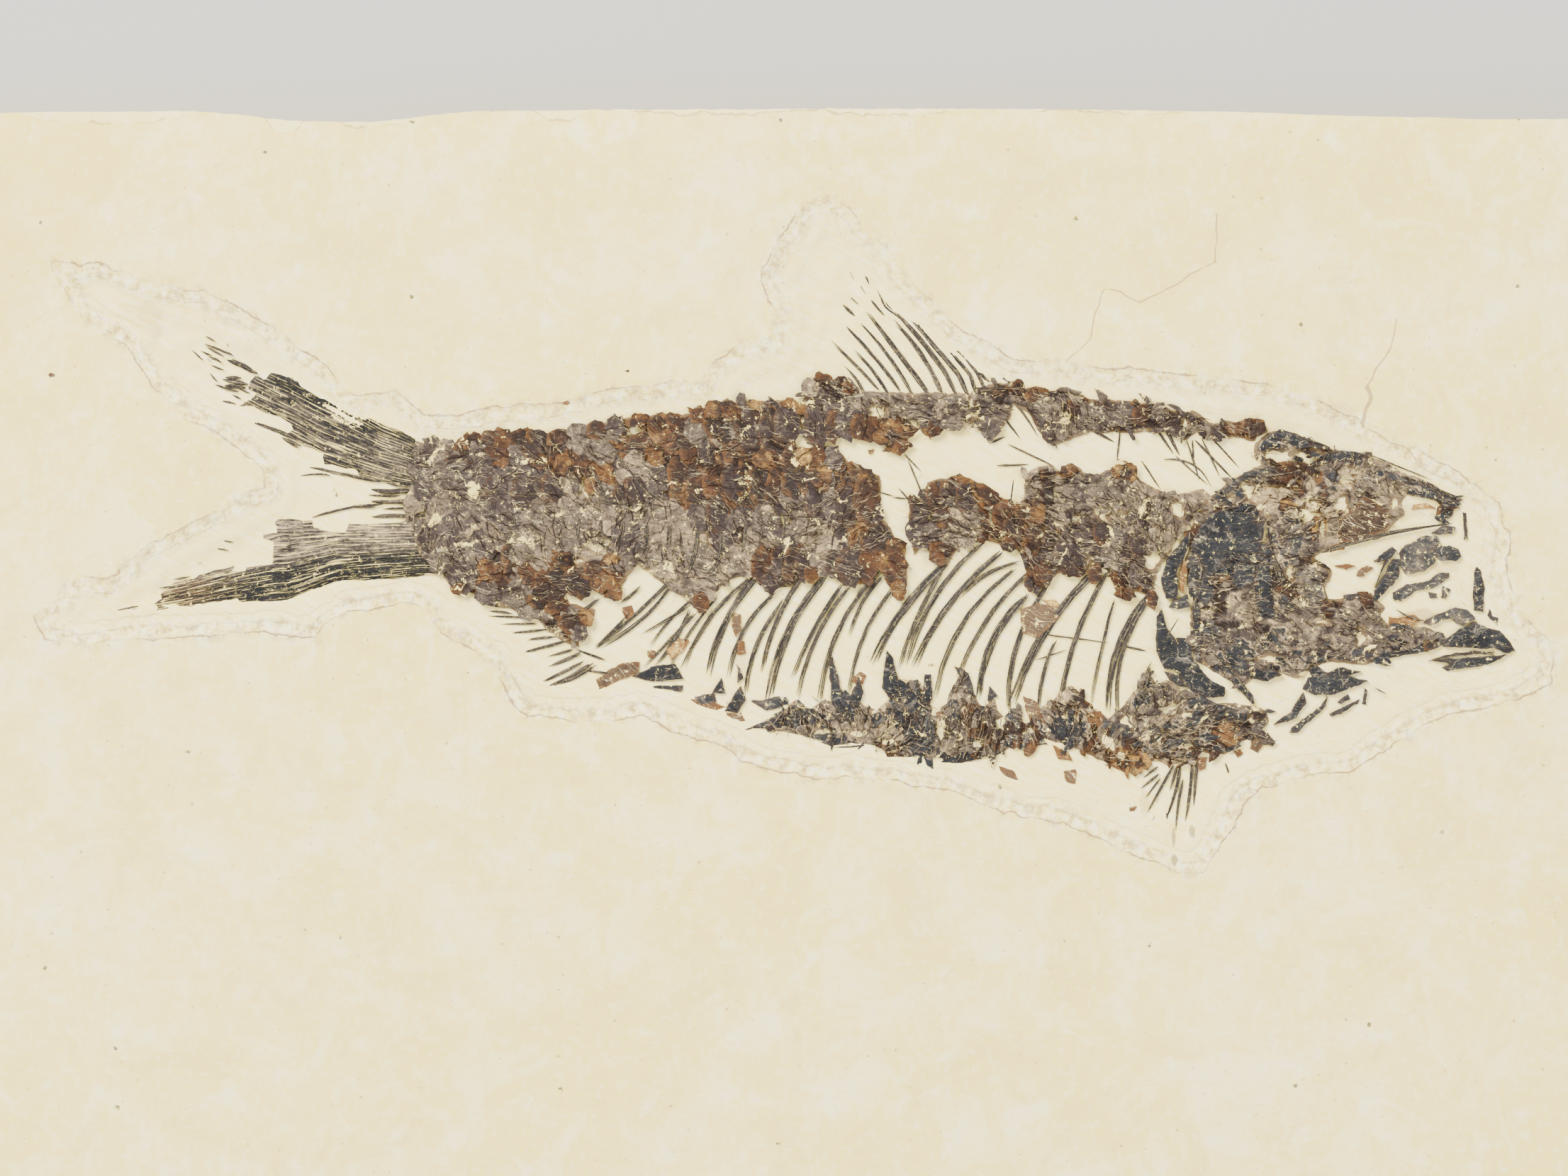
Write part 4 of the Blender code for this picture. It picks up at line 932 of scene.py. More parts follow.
def skinFinish():
    # the crushed layer under the scales
    kit = Finish("crushedSkin")
    spot = kit.place()
    patch = kit.cloud(spot, 0.55, 4, 0.66)
    tone = kit.attribute("tone")
    shifted = tone + (patch - 0.5) * 0.5
    kit.colour = kit.ramp(shifted.clamp(), toneStops)
    bump, grain = crushed(kit, spot, tone.rise(0.43, 0.56) * 0.8, patch)
    rim = (kit.attribute("rim") + (patch - 0.5) * 1.2).rise(0.35, 0.05)
    kit.wash(rim * 0.35, "tan")
    return kit.finish(0.66 - 0.1 * grain, 0.14, bump, strength=0.95)


def skinTones(skin, zones, seed):
    # every patch of skin about a millimetre wide takes one of the tones of its zone
    tones = []
    for vert in skin.data.vertices:
        x, y = vert.co.x / mm, vert.co.y / mm
        x += 0.9 * ripple(x, y, 0.8, 4.0)
        y += 0.9 * ripple(x, y, 0.8, 9.0)
        rng = random.Random(int(x / 1.1 + 500) * 1009 + int(y / 1.4 + 500) + int(seed))
        tones.append(toneOf[rng.choice(zoneAt(zones, x, y))])
    give(skin.data, "tone", tones)


def dressBody(name, body):
    # the skin inside the outline, with ragged windows, and all that lies on it
    seed, height = body["seed"], body["height"]
    holes = [blob(x, y, w, h, seed + i) for i, (x, y, w, h) in enumerate(body["gaps"])]

    def swollen(px, py, rim):
        swell = 0.05 * noiseField(px, py, 2.2, 40.0) + 0.02 * noiseField(px, py, 0.6, 44.0)
        return height + swell - 0.3 * (1.0 - smoothRise(rim, 0.0, 0.5))

    skin = plate(name + "Skin", pairs(body["edge"]), swollen, holes, 0.33, 0.16, seed)
    skinTones(skin, body["zones"], seed)
    skin.data.materials.append(skinStuff)
    place(skin, body["slot"], body["nodes"])
    rows = []
    for number, lay in enumerate((scaleRows, shardRows, fibreRows)):
        if number or "size" in body:
            rows += lay(body, random.Random(seed + number), height + scaleLay["lift"])
    values = {"Raggedness": scaleLay["ragged"], "Raggedness scale": 3000.0, "Material": scaleStuff}
    scales = scaleGroup.grow(name + "Scales", pointMesh(name + "Points", rows), values)
    scales.data.shade_smooth()
    place(scales, body["slot"])
    print(name, "scales:", len(rows), "placed,", len(scales.data.polygons), "faces")


skinStuff = skinFinish()
scaleStuff = scaleFinish()
scaleGroup = scatterGroup("strewScales", scaleShapes())
trunk = {
    "height": 7.95,  # of the skin
    "seed": 3.0,
    "shards": 520,  # and three times as many fibres
    "size": (2.3, 3.0),  # of a scale
    "slot": "scales",
    "nodes": ["trunk_scales"],
    "edge": (
        -31.5,23.9, -28,23.7, -27,24.3, -25,24.6, -18.5,24.6, -18.2,25.2, -16,25.3, -13,26, -8,26.2,
        -6,26.8, -4.9,27.6, -4,27.1, 0.4,27.4, 1.4,26.3, 1.2,24.6, 0.2,23.2, 4.5,23.4, 5.5,22, 8.2,20.9,
        8.1,17.4, 9,16.6, 9.6,15.4, 10.3,15.2, 10.4,11.6, 9.7,10.4, 8.3,13.2, 7.7,13.5, 7.4,12, 6,11.6,
        4,12.7, 2,12.3, -0.5,11.3, -3,12.5, -5,12, -7,9.4, -12.5,13.5, -14.5,10.4, -16.2,11.5, -17.5,10.7,
        -18.5,11.4, -18.2,10.2, -16,9.6, -16.2,8.6, -17.2,7.6, -17.4,6.4, -19.3,7.2, -21.5,9.3, -25.8,10.3,
        -26.2,11.1, -28,11, -29,12.9, -30.4,13.6, -31.4,15.2, -32,17.5),
    "gaps": (  # x, y, width, height
        (-12.8,24.7, 1.8,0.7), (-17,20, 1.2,1.9), (-9.3,20.1, 1.3,1), (-15.8,15.2, 2.6,0.9), (-7,15.2,
        1,1.5), (-3.1,15.6, 0.8,1.9), (0.1,17.2, 0.7,1.6), (-11.4,21.9, 1.6,0.6), (-9.2,14.1, 1.6,0.8),
        (-24.9,14.5, 1,0.7), (-0.9,25, 0.5,2.2), (-17.4,13.7, 1,0.4), (-30.6,17.7, 1.2,0.4), (-6.6,18.1,
        0.3,0.5), (1,24, 0.6,0.5), (4.9,15.4, 1.1,0.5)),
    "zones": (  # x, y, reach, tones found near it
        (-29,18.5, 5, "ash lilac dust ash"), (-23.3,20.6, 4, "ash lilac plum lilac"), (-20,17.2, 4.5,
        "dust ash ash"), (-13,17.5, 5, "dust ash lilac"), (-27.5,23.8, 2, "sepia umber ash"), (-24,23.9, 2,
        "umber rust sepia"), (-20.5,24, 2.4, "sepia umber sepia"), (-17,24.4, 2, "ash umber ash"),
        (-10.5,25, 2.6, "rust umber amber"), (-18.5,22, 1.8, "rust umber rust"), (-15.2,21.5, 1.6,
        "amber rust"), (-12,23.4, 1.8, "rust umber amber"), (-6,26.1, 1.7, "amber rust honey"), (-5.5,24.6,
        1.6, "ash sepia ash"), (-9.5,20.7, 2.2, "umber amber plum"), (-3.8,20.8, 3.4,
        "umber plum sepia rust"), (1.6,22.2, 2, "umber amber rust"), (6.6,20.6, 1.8, "amber umber"),
        (4,18.6, 2.4, "plum lilac plum"), (-0.3,16.5, 2.6, "ash dust lilac"), (-5.8,17.6, 1.6,
        "plum lilac"), (-9.5,16.4, 2.8, "ash dust"), (0.8,13.2, 2, "plum umber plum"), (5.9,13.4, 1.8,
        "plum amber plum"), (-8,13.2, 2.6, "ash dust"), (-24.5,12.8, 2.2, "rust umber sepia"), (-18.6,12.4,
        2.4, "sepia umber rust"), (-15.2,12.2, 1.6, "amber rust"), (-22.5,10.4, 2, "ash sepia ash"),
        (-18,8.6, 2, "rust umber ash"), (-27.5,14.5, 2.6, "lilac ash"), (9.3,13, 1.4, "rust amber umber"),
        (-1.5,26, 1.8, "plum umber lilac"), (-30.5,22, 2.4, "ash lilac"), (-14,19.4, 2.2, "lilac ash plum"),
        (2.5,15.3, 2, "ash dust plum")),
    "scales": (  # placed one by one: x, y, width, height, turn, tone
        (-26.3,23.9, 1.8,1.2, 20, "umber"), (-24.6,24.1, 1.9,1.3, -8, "rust"), (-22.6,24.2, 2,1.2, 10,
        "sepia"), (-20.9,24.2, 1.9,1.3, -12, "sepia"), (-19.2,24.2, 1.7,1.2, 18, "umber"), (-17.4,24.7,
        1.7,1.4, -15, "ash"), (-15.9,24.8, 1.5,1.5, 12, "umber"), (-14.2,25.2, 1.5,1.6, -10, "lilac"),
        (-12.4,25.6, 1.8,0.9, 18, "rust"), (-10.8,25.3, 1.5,1.3, 0, "umber"), (-9.2,25.6, 1.6,1.2, -20,
        "rust"), (-12,24, 1.7,1.4, 12, "umber"), (-13.1,22.9, 1.8,1.5, -8, "rust"), (-20.3,22.2, 1.9,1, 5,
        "rust"), (-18.7,22, 1.4,1.7, -10, "amber"), (-17.2,22.2, 1.5,0.9, 12, "rust"), (-16.9,21.4, 1.5,0.8,
        -20, "umber"), (-15,20.8, 1.6,0.9, -35, "amber"), (-16.4,20.1, 0.9,1.4, 10, "amber"), (-10.8,22.4,
        1.4,1.1, -10, "amber"), (-9.5,23.7, 1.5,1.9, 25, "rust"), (-8.2,23.2, 1.4,1.8, -5, "umber"),
        (-7.2,26.2, 1.6,1.2, 30, "rust"), (-5.9,26.5, 1.5,1.5, -10, "amber"), (-4.5,26.4, 1.9,1.4, -30,
        "rust"), (-2.3,26.9, 1.6,0.8, -15, "honey"), (-1.5,25, 1.3,2.7, -5, "plum"), (0.2,25.2, 2,2.9, 8,
        "plum"), (0.9,26.8, 1.9,1, -25, "amber"), (-9.2,21, 1.3,2.9, 6, "umber"), (-7.6,20.4, 1.2,3.3, -4,
        "umber"), (-6.2,20.3, 1.3,2.9, 8, "rust"), (-4.5,20.7, 1.6,3.2, -6, "plum"), (-2.4,20.1, 1.3,3.1, 4,
        "sepia"), (-0.9,20.2, 1.2,3.3, -5, "umber"), (-1.9,22.4, 1.6,1.4, 20, "amber"), (0.6,20.6, 1.4,3, 3,
        "sepia"), (0.5,22.7, 1.2,2.2, -12, "umber"), (1.6,22.6, 1.3,1.5, 15, "honey"), (2.8,22.6, 1.2,1.7,
        -5, "rust"), (4.2,22.5, 1.4,1.9, 5, "lilac"), (2.4,19.4, 1.2,3.9, 2, "plum"), (3.9,19.3, 1.3,4.2,
        -3, "lilac"), (5.2,18.5, 1.5,3.6, 5, "plum"), (6.9,19.2, 1.9,3.9, -8, "umber"), (6.6,21, 2.4,1.3,
        -20, "amber"), (-5.7,17.7, 1.7,3, 4, "plum"), (-3.4,17.5, 1.6,1.6, -10, "lilac"), (-0.5,13.6,
        1.1,3.2, 3, "plum"), (0.5,13.4, 1,3, -4, "umber"), (1.5,13.6, 1.1,3.1, 3, "plum"), (2.3,12.6,
        1.2,1.3, -10, "amber"), (5.6,13.3, 2.2,3.1, -6, "plum"), (7,13.4, 1.4,3.2, 4, "rust"), (9.5,14,
        1.5,3, 12, "rust"), (9.7,11.3, 1.1,1.8, 6, "amber"), (-7,10.2, 1.2,1.7, 10, "rust"), (-25.4,13.1,
        1,1.6, 10, "amber"), (-24.6,12.9, 1.2,1.9, 12, "rust"), (-23.1,12.8, 1.3,1.6, -6, "sepia"),
        (-21.6,12.5, 1.4,2.2, 20, "rust"), (-20.5,12.1, 1.3,1.7, -15, "umber"), (-19.3,12.4, 1.3,2, 8,
        "sepia"), (-18.7,13.9, 1.6,1, -10, "sepia"), (-17.7,11.9, 2.1,2.1, 0, "sepia"), (-16.2,12.9,
        1.4,1.6, 15, "umber"), (-15.6,11.9, 1.4,1.7, -8, "amber"), (-14.4,11.4, 1.1,1.9, 14, "amber"),
        (-14.6,13.9, 1.4,0.8, 10, "honey"), (-25,11, 2,1.8, 0, "lilac"), (-22.6,10.5, 1.5,1.2, 20, "ash"),
        (-20.9,10.3, 1.6,1, -10, "sepia"), (-19.5,9.8, 1.5,1.1, 10, "rust"), (-18.2,8.4, 1.8,1.6, -12,
        "umber"), (-16.8,9, 1.1,1.6, 20, "amber"), (-17.2,7.6, 1,1.3, 10, "lilac"), (-27.6,11.4, 1.2,0.8,
        25, "rust"), (-26.4,20.3, 2,2.2, 0, "lilac"), (-24.3,19.8, 1.9,2.3, 5, "plum"), (-22,19.8, 1.9,2.3,
        -5, "plum"), (-19.7,19.9, 1.8,2.2, 5, "plum"), (-12.6,19.8, 1.7,2.2, 18, "plum"), (-10.6,20.7,
        1.6,2, 10, "lilac")),
}
dressBody("trunk", trunk)


# strands: ribs, fin rays and loose needles are swept along lines
strandSweep = {"Sides": 6, "Flatness": 0.5, "Step": 0.0004}


def lineOf(flat):
    # every point of a line, or its two ends, or its two ends and how far it bows out to the left
    if len(flat) % 2 == 0:
        return pairs(flat)
    ax, ay, bx, by, bow = flat
    across = bow / math.hypot(bx - ax, by - ay)
    places = (i / 5 for i in range(6))
    return [(ax + (bx - ax) * t - (by - ay) * 4.0 * t * (1.0 - t) * across,
             ay + (by - ay) * t + (bx - ax) * 4.0 * t * (1.0 - t) * across) for t in places]


def bundled(lines, seed, parts, thick):
    # every bone is a bundle of a few splinters that part company here and there
    rng = random.Random(seed)
    split = []
    for girth, *flat in lines:
        knots = lineOf(flat)
        for k in range(parts):
            aside = (k - (parts - 1) / 2) * girth * 0.72
            run = []
            for i, (x, y) in enumerate(knots):
                ax, ay = knots[max(0, i - 1)]
                bx, by = knots[min(len(knots) - 1, i + 1)]
                long = math.hypot(bx - ax, by - ay)
                off = aside * (0.75 + 0.5 * i / len(knots)) + rng.uniform(-0.25, 0.25) * girth
                slide = rng.uniform(-0.35, 0.35) if i in (0, len(knots) - 1) else 0.0
                run += [x - (by - ay) / long * off + (bx - ax) / long * slide,
                        y + (bx - ax) / long * off + (by - ay) / long * slide]
            split.append((girth * thick * rng.uniform(0.36, 0.55), *run))
    return split


def strandGroup():
    kit = Growth("sweepStrands")
    lines = kit.add("GeometryNodeMeshToCurve", {}, {"Mesh": kit.input("Geometry")})
    lines = kit.add("GeometryNodeCurveSplineType", {"spline_type": "CATMULL_ROM"}, {"Curve": lines})
    lines = kit.add("GeometryNodeResampleCurve", {"mode": "LENGTH"},
        {"Curve": lines, "Length": kit.input("Step")})
    lines = kit.add("GeometryNodeSetCurveNormal", {"mode": "Z_UP"}, {"Curve": lines})
    along = kit.add("GeometryNodeSplineParameter", {}, {}, "Length")
    store = "GeometryNodeStoreNamedAttribute"
    lines = kit.add(store, {"data_type": "FLOAT"}, {"Geometry": lines, "Name": "along", "Value": along})
    spot = kit.add("GeometryNodeInputPosition", {}, {})
    lines = kit.add(store, {"data_type": "FLOAT_VECTOR"},
        {"Geometry": lines, "Name": "spine", "Value": spot})
    ring = kit.add("GeometryNodeCurvePrimitiveCircle", {},
        {"Resolution": kit.input("Sides", "NodeSocketInt"), "Radius": 1.0})
    ring = kit.add(store, {"data_type": "FLOAT_VECTOR"}, {"Geometry": ring, "Name": "ring", "Value": spot})
    values = {"Curve": lines, "Profile Curve": ring, "Scale": kit.named("girth"), "Fill Caps": True}
    tube = kit.add("GeometryNodeCurveToMesh", {}, values)
    spine = kit.named("spine", "FLOAT_VECTOR")
    flat = kit.joined(1.0, 1.0, kit.input("Flatness"))
    settled = kit.shifted(kit.scaled(kit.vector("SUBTRACT", spot, spine), flat), spine)
    tube = kit.add("GeometryNodeSetPosition", {}, {"Geometry": tube, "Position": settled})
    shake = kit.scaled(kit.swirl(spot, 900.0), (1.0, 1.0, 0.2))
    push = kit.add("ShaderNodeVectorMath", {"operation": "SCALE"}, {0: shake, "Scale": kit.input("Wander")})
    kit.close(kit.add("GeometryNodeSetPosition", {}, {"Geometry": tube, "Offset": push}))
    return kit


def strandMesh(name, lines, low, high, bulb, blunt, seed, tone):
    # a line mesh; girth swells at the head and tapers to the tip, height runs from low to high
    points, edges, girths, tones, lucks = [], [], [], [], []
    for number, (girth, *flat) in enumerate(lines):
        knots = lineOf(flat)
        start = len(points)
        lengths = [0.0]
        for (ax, ay), (bx, by) in zip(knots, knots[1:]):
            lengths.append(lengths[-1] + math.hypot(bx - ax, by - ay))
        luck = noise.noise((number * 1.37, seed, 0.5)) * 0.5 + 0.5
        count = max(4, round(lengths[-1] / 0.8))
        for i in range(count + 1):
            where = lengths[-1] * i / count
            x = float(np.interp(where, lengths, [k[0] for k in knots]))
            y = float(np.interp(where, lengths, [k[1] for k in knots]))
            share = i / count
            swell = 1.0 + bulb * math.exp(-(share * lengths[-1] / 0.5) ** 2)
            taper = blunt + (1.0 - blunt) * math.sin(math.pi * min(1.0, 0.3 + 0.7 * share)) ** 0.7
            end = 0.35 if i in (0, count) else 1.0
            play = 1.0 + 0.3 * ripple(x, y, 1.1, seed)
            points.append((x * mm, y * mm, (high + (low - high) * share) * mm))
            girths.append(girth * swell * taper * end * play * mm)
            tones.append(tone + 0.25 * ripple(x, y, 0.25, seed + 2.0))
            lucks.append(luck)
        edges += [(start + i, start + i + 1) for i in range(count)]
    mesh = bpy.data.meshes.new(name)
    mesh.from_pydata(points, edges, [])
    give(mesh, "girth", girths)
    give(mesh, "tone", tones)
    give(mesh, "luck", lucks)
    return mesh


def strands(name, lines, slot, low, high, blunt, seed, nodes=(), bundle=None, bulb=0.0, tone=0.0,
            wander=0.00008):
    lines = bundled(lines, *bundle) if bundle else lines
    mesh = strandMesh(name + "Lines", lines, low, high, bulb, blunt, seed, tone)
    piece = strandsOf.grow(name, mesh, {**strandSweep, "Wander": wander, "Material": strandStuff})
    piece.data.shade_smooth()
    place(piece, slot, nodes)


def strandFinish():
    kit = Finish("boneStrands")
    spot = kit.place()
    luck = kit.attribute("luck")
    tone = kit.attribute("tone")
    ring = kit.attribute("ring", "Vector")
    along = kit.attribute("along") * 1000
    stretched = kit.joined(kit.part(ring, "X") * 1.5 + luck * 37, along * 0.22, 0)
    lines = kit.cloud(stretched, 1.7, 3, 0.65)
    grain = kit.cloud(spot, 4, 3, 0.7)
    stops = ((0.34, (0.008, 0.007, 0.0065)), (0.5, (0.024, 0.02, 0.0175)), (0.58, (0.08, 0.062, 0.044)),
             (0.7, (0.42, 0.33, 0.17)))
    kit.colour = kit.ramp(lines * 0.85 + grain * 0.15, stops)
    kit.wash(tone.rise(0.08, 0.6) * 0.7, "umber")
    splits = kit.cells(spot, 1.3, "DISTANCE_TO_EDGE").rise(0.03, 0.01) * grain.rise(0.45, 0.6)
    kit.wash(splits * 0.35, "cream")
    return kit.finish(0.5 + 0.15 * grain, 0.16, lines + grain * 0.4, 0.00005, 0.8)


nape = {
    "height": 7.93,
    "seed": 13.0,
    "shards": 300,
    "size": (1.6, 2.0),
    "slot": "scales",
    "nodes": ["nape_scales"],
    "edge": (
        1.5,27.4, 2.6,29.6, 3.6,29, 5,29.2, 7,28.1, 15.5,27.9, 18,28.9, 20,29, 21,28.4, 22.5,28.1, 24,28.4,
        26,27.5, 31.5,27.1, 33,26.5, 35,26.4, 36,25.4, 39.3,25.7, 40.5,25.5, 41,24.6, 39.6,23.9, 38,24.3,
        36.6,24, 35,24.6, 34,23.9, 32.5,24.6, 26,24.6, 22.7,23.5, 20.6,26.2, 19.4,27, 18.8,25.2, 18,24.1,
        17,24.3, 16.5,25.9, 15.3,25, 13.9,24.9, 13,24.4, 12,24.3, 11.2,25, 9.6,22.8, 8.8,23.2, 8.2,24.1,
        7.2,23.8, 6,24.3, 2,23.8, 1.4,25.3),
    "gaps": (
        (7.9,26.3, 1.4,0.8), (15.9,27, 0.5,1.3), (11,25.4, 0.5,0.7), (26,27, 0.5,0.6), (34,25.4, 0.5,0.8)),
    "zones": (
        (8,28, 2.2, "ash dust ash"), (4,25.6, 2.4, "lilac plum lilac"), (6.8,25, 1.5, "umber lilac"),
        (9.3,24.3, 1.8, "amber umber"), (13,26, 2.2, "lilac ash dust"), (12.5,24.7, 1, "umber amber"),
        (17.7,25.6, 1.4, "lilac"), (19.3,27.6, 1.8, "ash sepia"), (21.3,27.8, 0.9, "rust"), (23,26.4, 1.8,
        "ash plum"), (25.5,27.2, 1.5, "ash dust umber"), (25.8,25.8, 1.2, "ash lilac"), (29,26.2, 2.4,
        "lilac umber plum"), (33,26, 1.8, "plum ash sepia"), (36,25, 1.6, "ash lilac plum"), (38.4,25, 1.6,
        "umber rust")),
    "scales": (
        (2.7,25.5, 1.7,3.6, 2, "plum"), (4.2,25.2, 1.3,2.8, -4, "umber"), (5.2,25.4, 1.4,2.7, 6, "lilac"),
        (6.8,25, 2.3,2.2, -6, "umber"), (9.2,24.8, 1.6,1.8, 10, "amber"), (9.8,23.5, 1.3,1.2, -15, "rust"),
        (12.3,25.6, 1.3,1.8, -6, "lilac"), (14.3,25.6, 1.8,1.6, 8, "ash"), (12.7,24.7, 1.2,0.8, 12,
        "umber"), (17.7,25.4, 1.4,2.4, -14, "lilac"), (2.2,28.4, 1.3,1.6, 20, "dust"), (3.4,29.2, 1.4,0.9,
        -30, "rust"), (4.7,28.9, 1.2,0.8, 20, "umber"), (5.4,28.3, 1.2,0.9, -40, "rust"), (21.2,27.8,
        1.5,1.2, 0, "rust"), (22.4,26.6, 2.2,1.6, -25, "ash"), (28.6,26.3, 2.2,1.8, 0, "lilac"), (30.2,26.1,
        1.4,1.7, 10, "umber"), (33.4,24.7, 1.3,1, 12, "lilac"), (39.7,25.1, 1.9,1.4, 0, "umber"), (38.2,25,
        1.2,0.9, 20, "rust"), (8.2,24.2, 1.2,1.4, 12, "amber")),
}
dressBody("nape", nape)
shoulder = {
    "height": 7.95,
    "seed": 23.0,
    "shards": 380,
    "size": (1.8, 2.5),
    "slot": "scales",
    "nodes": ["shoulder_scales"],
    "edge": (
        10.4,17.5, 10.8,18.8, 11.8,19.2, 12.2,20.4, 14.9,20.8, 19.6,18.3, 20.4,19.2, 20.3,20.9, 21.6,21.7,
        22.6,21.9, 23.6,21.3, 24.5,21.9, 25.4,21.1, 26.4,20.9, 28.5,21.9, 29.5,21.6, 30.2,20.5, 32.6,19.3,
        35.5,19.8, 36.2,19.2, 33,15.2, 31.6,12.6, 31.2,11, 29.8,11.1, 28.9,10.3, 28.1,11.2, 27.4,12.9,
        26.2,13.6, 25.3,12.6, 23.6,12.9, 22.2,12.3, 21.2,11, 20.6,12, 20.2,14.4, 19.2,15.1, 17.6,15.4,
        15.6,15.3, 14.2,14.2, 13.4,12.9, 12,15, 11,14.2),
    "gaps": (
        (14.2,16.6, 0.9,0.9), (26.9,17.9, 1.6,1.6), (29.2,17.4, 1.3,0.9), (24.8,17.2, 1.6,0.7), (26.3,14,
        1.3,0.5), (31.2,13.8, 1.4,1.6), (33.3,17.9, 1.5,1.2), (17.2,17.2, 1.2,1.7), (21.8,16.2, 0.7,1.1),
        (23.2,19.6, 0.6,1.5), (12.2,17.4, 0.5,0.6)),
    "zones": (
        (11.8,15.5, 1.6, "lilac umber"), (13.5,19, 1.9, "plum umber sepia"), (16.6,19.4, 1.7, "rust amber"),
        (15.3,16.9, 1.6, "ash dust"), (18.6,16.6, 1.9, "umber lilac rust"), (22,19.6, 2.2,
        "sepia dust ash"), (21.6,14.4, 1.8, "umber plum ash"), (24.4,15, 2.4, "plum ash lilac"), (24.4,12.7,
        1.4, "amber rust"), (27,20, 2.2, "lilac ash"), (29,17, 3, "dust ash lilac"), (29.6,14, 2.2,
        "ash plum lilac"), (29,11.8, 1.3, "rust umber"), (28.5,21.5, 0.9, "amber honey"), (24,21.5, 0.9,
        "amber sepia"), (33.5,18.8, 2, "dust ash"), (32.5,15.5, 1.6, "ash dust")),
    "scales": (
        (11.5,16.2, 2.2,2.6, 10, "lilac"), (12.9,14.4, 1.1,2, 8, "rust"), (12.6,19.2, 1.1,2.2, 5, "umber"),
        (13.9,19.2, 1.5,2.8, -3, "plum"), (15.3,19.2, 1.5,2.6, 4, "plum"), (15.6,20.3, 2.4,0.8, -22,
        "amber"), (17.3,19.3, 2.4,1.2, -40, "rust"), (18.6,17.8, 1.6,2.4, -30, "rust"), (19.4,16.6, 1.7,1.8,
        12, "umber"), (19,15.2, 1.5,1.2, -10, "rust"), (22.3,19.8, 0.8,3.2, 3, "sepia"), (24.1,21.4, 1.3,1,
        12, "amber"), (28.2,21.3, 1,1.2, 10, "amber"), (29.3,21.2, 1,1.6, -8, "amber"), (24,14.2, 2.2,2.6,
        0, "plum"), (22,12.8, 1.8,1.6, 10, "rust"), (26.3,12.7, 1.1,1.6, -12, "amber"), (24.5,12.8, 1.8,0.9,
        0, "umber"), (28.9,11, 1.6,1, -8, "rust"), (31.1,10.6, 1,1.3, 10, "rust"), (26.8,16.1, 1.3,1.9, 12,
        "plum"), (28.3,15.9, 1.3,2.1, -6, "lilac"), (29.9,15.2, 1.3,2.2, 6, "plum"), (21.3,17.8, 1.4,2.2, 5,
        "amber")),
}
dressBody("shoulder", shoulder)
strandStuff = strandFinish()
strandsOf = strandGroup()
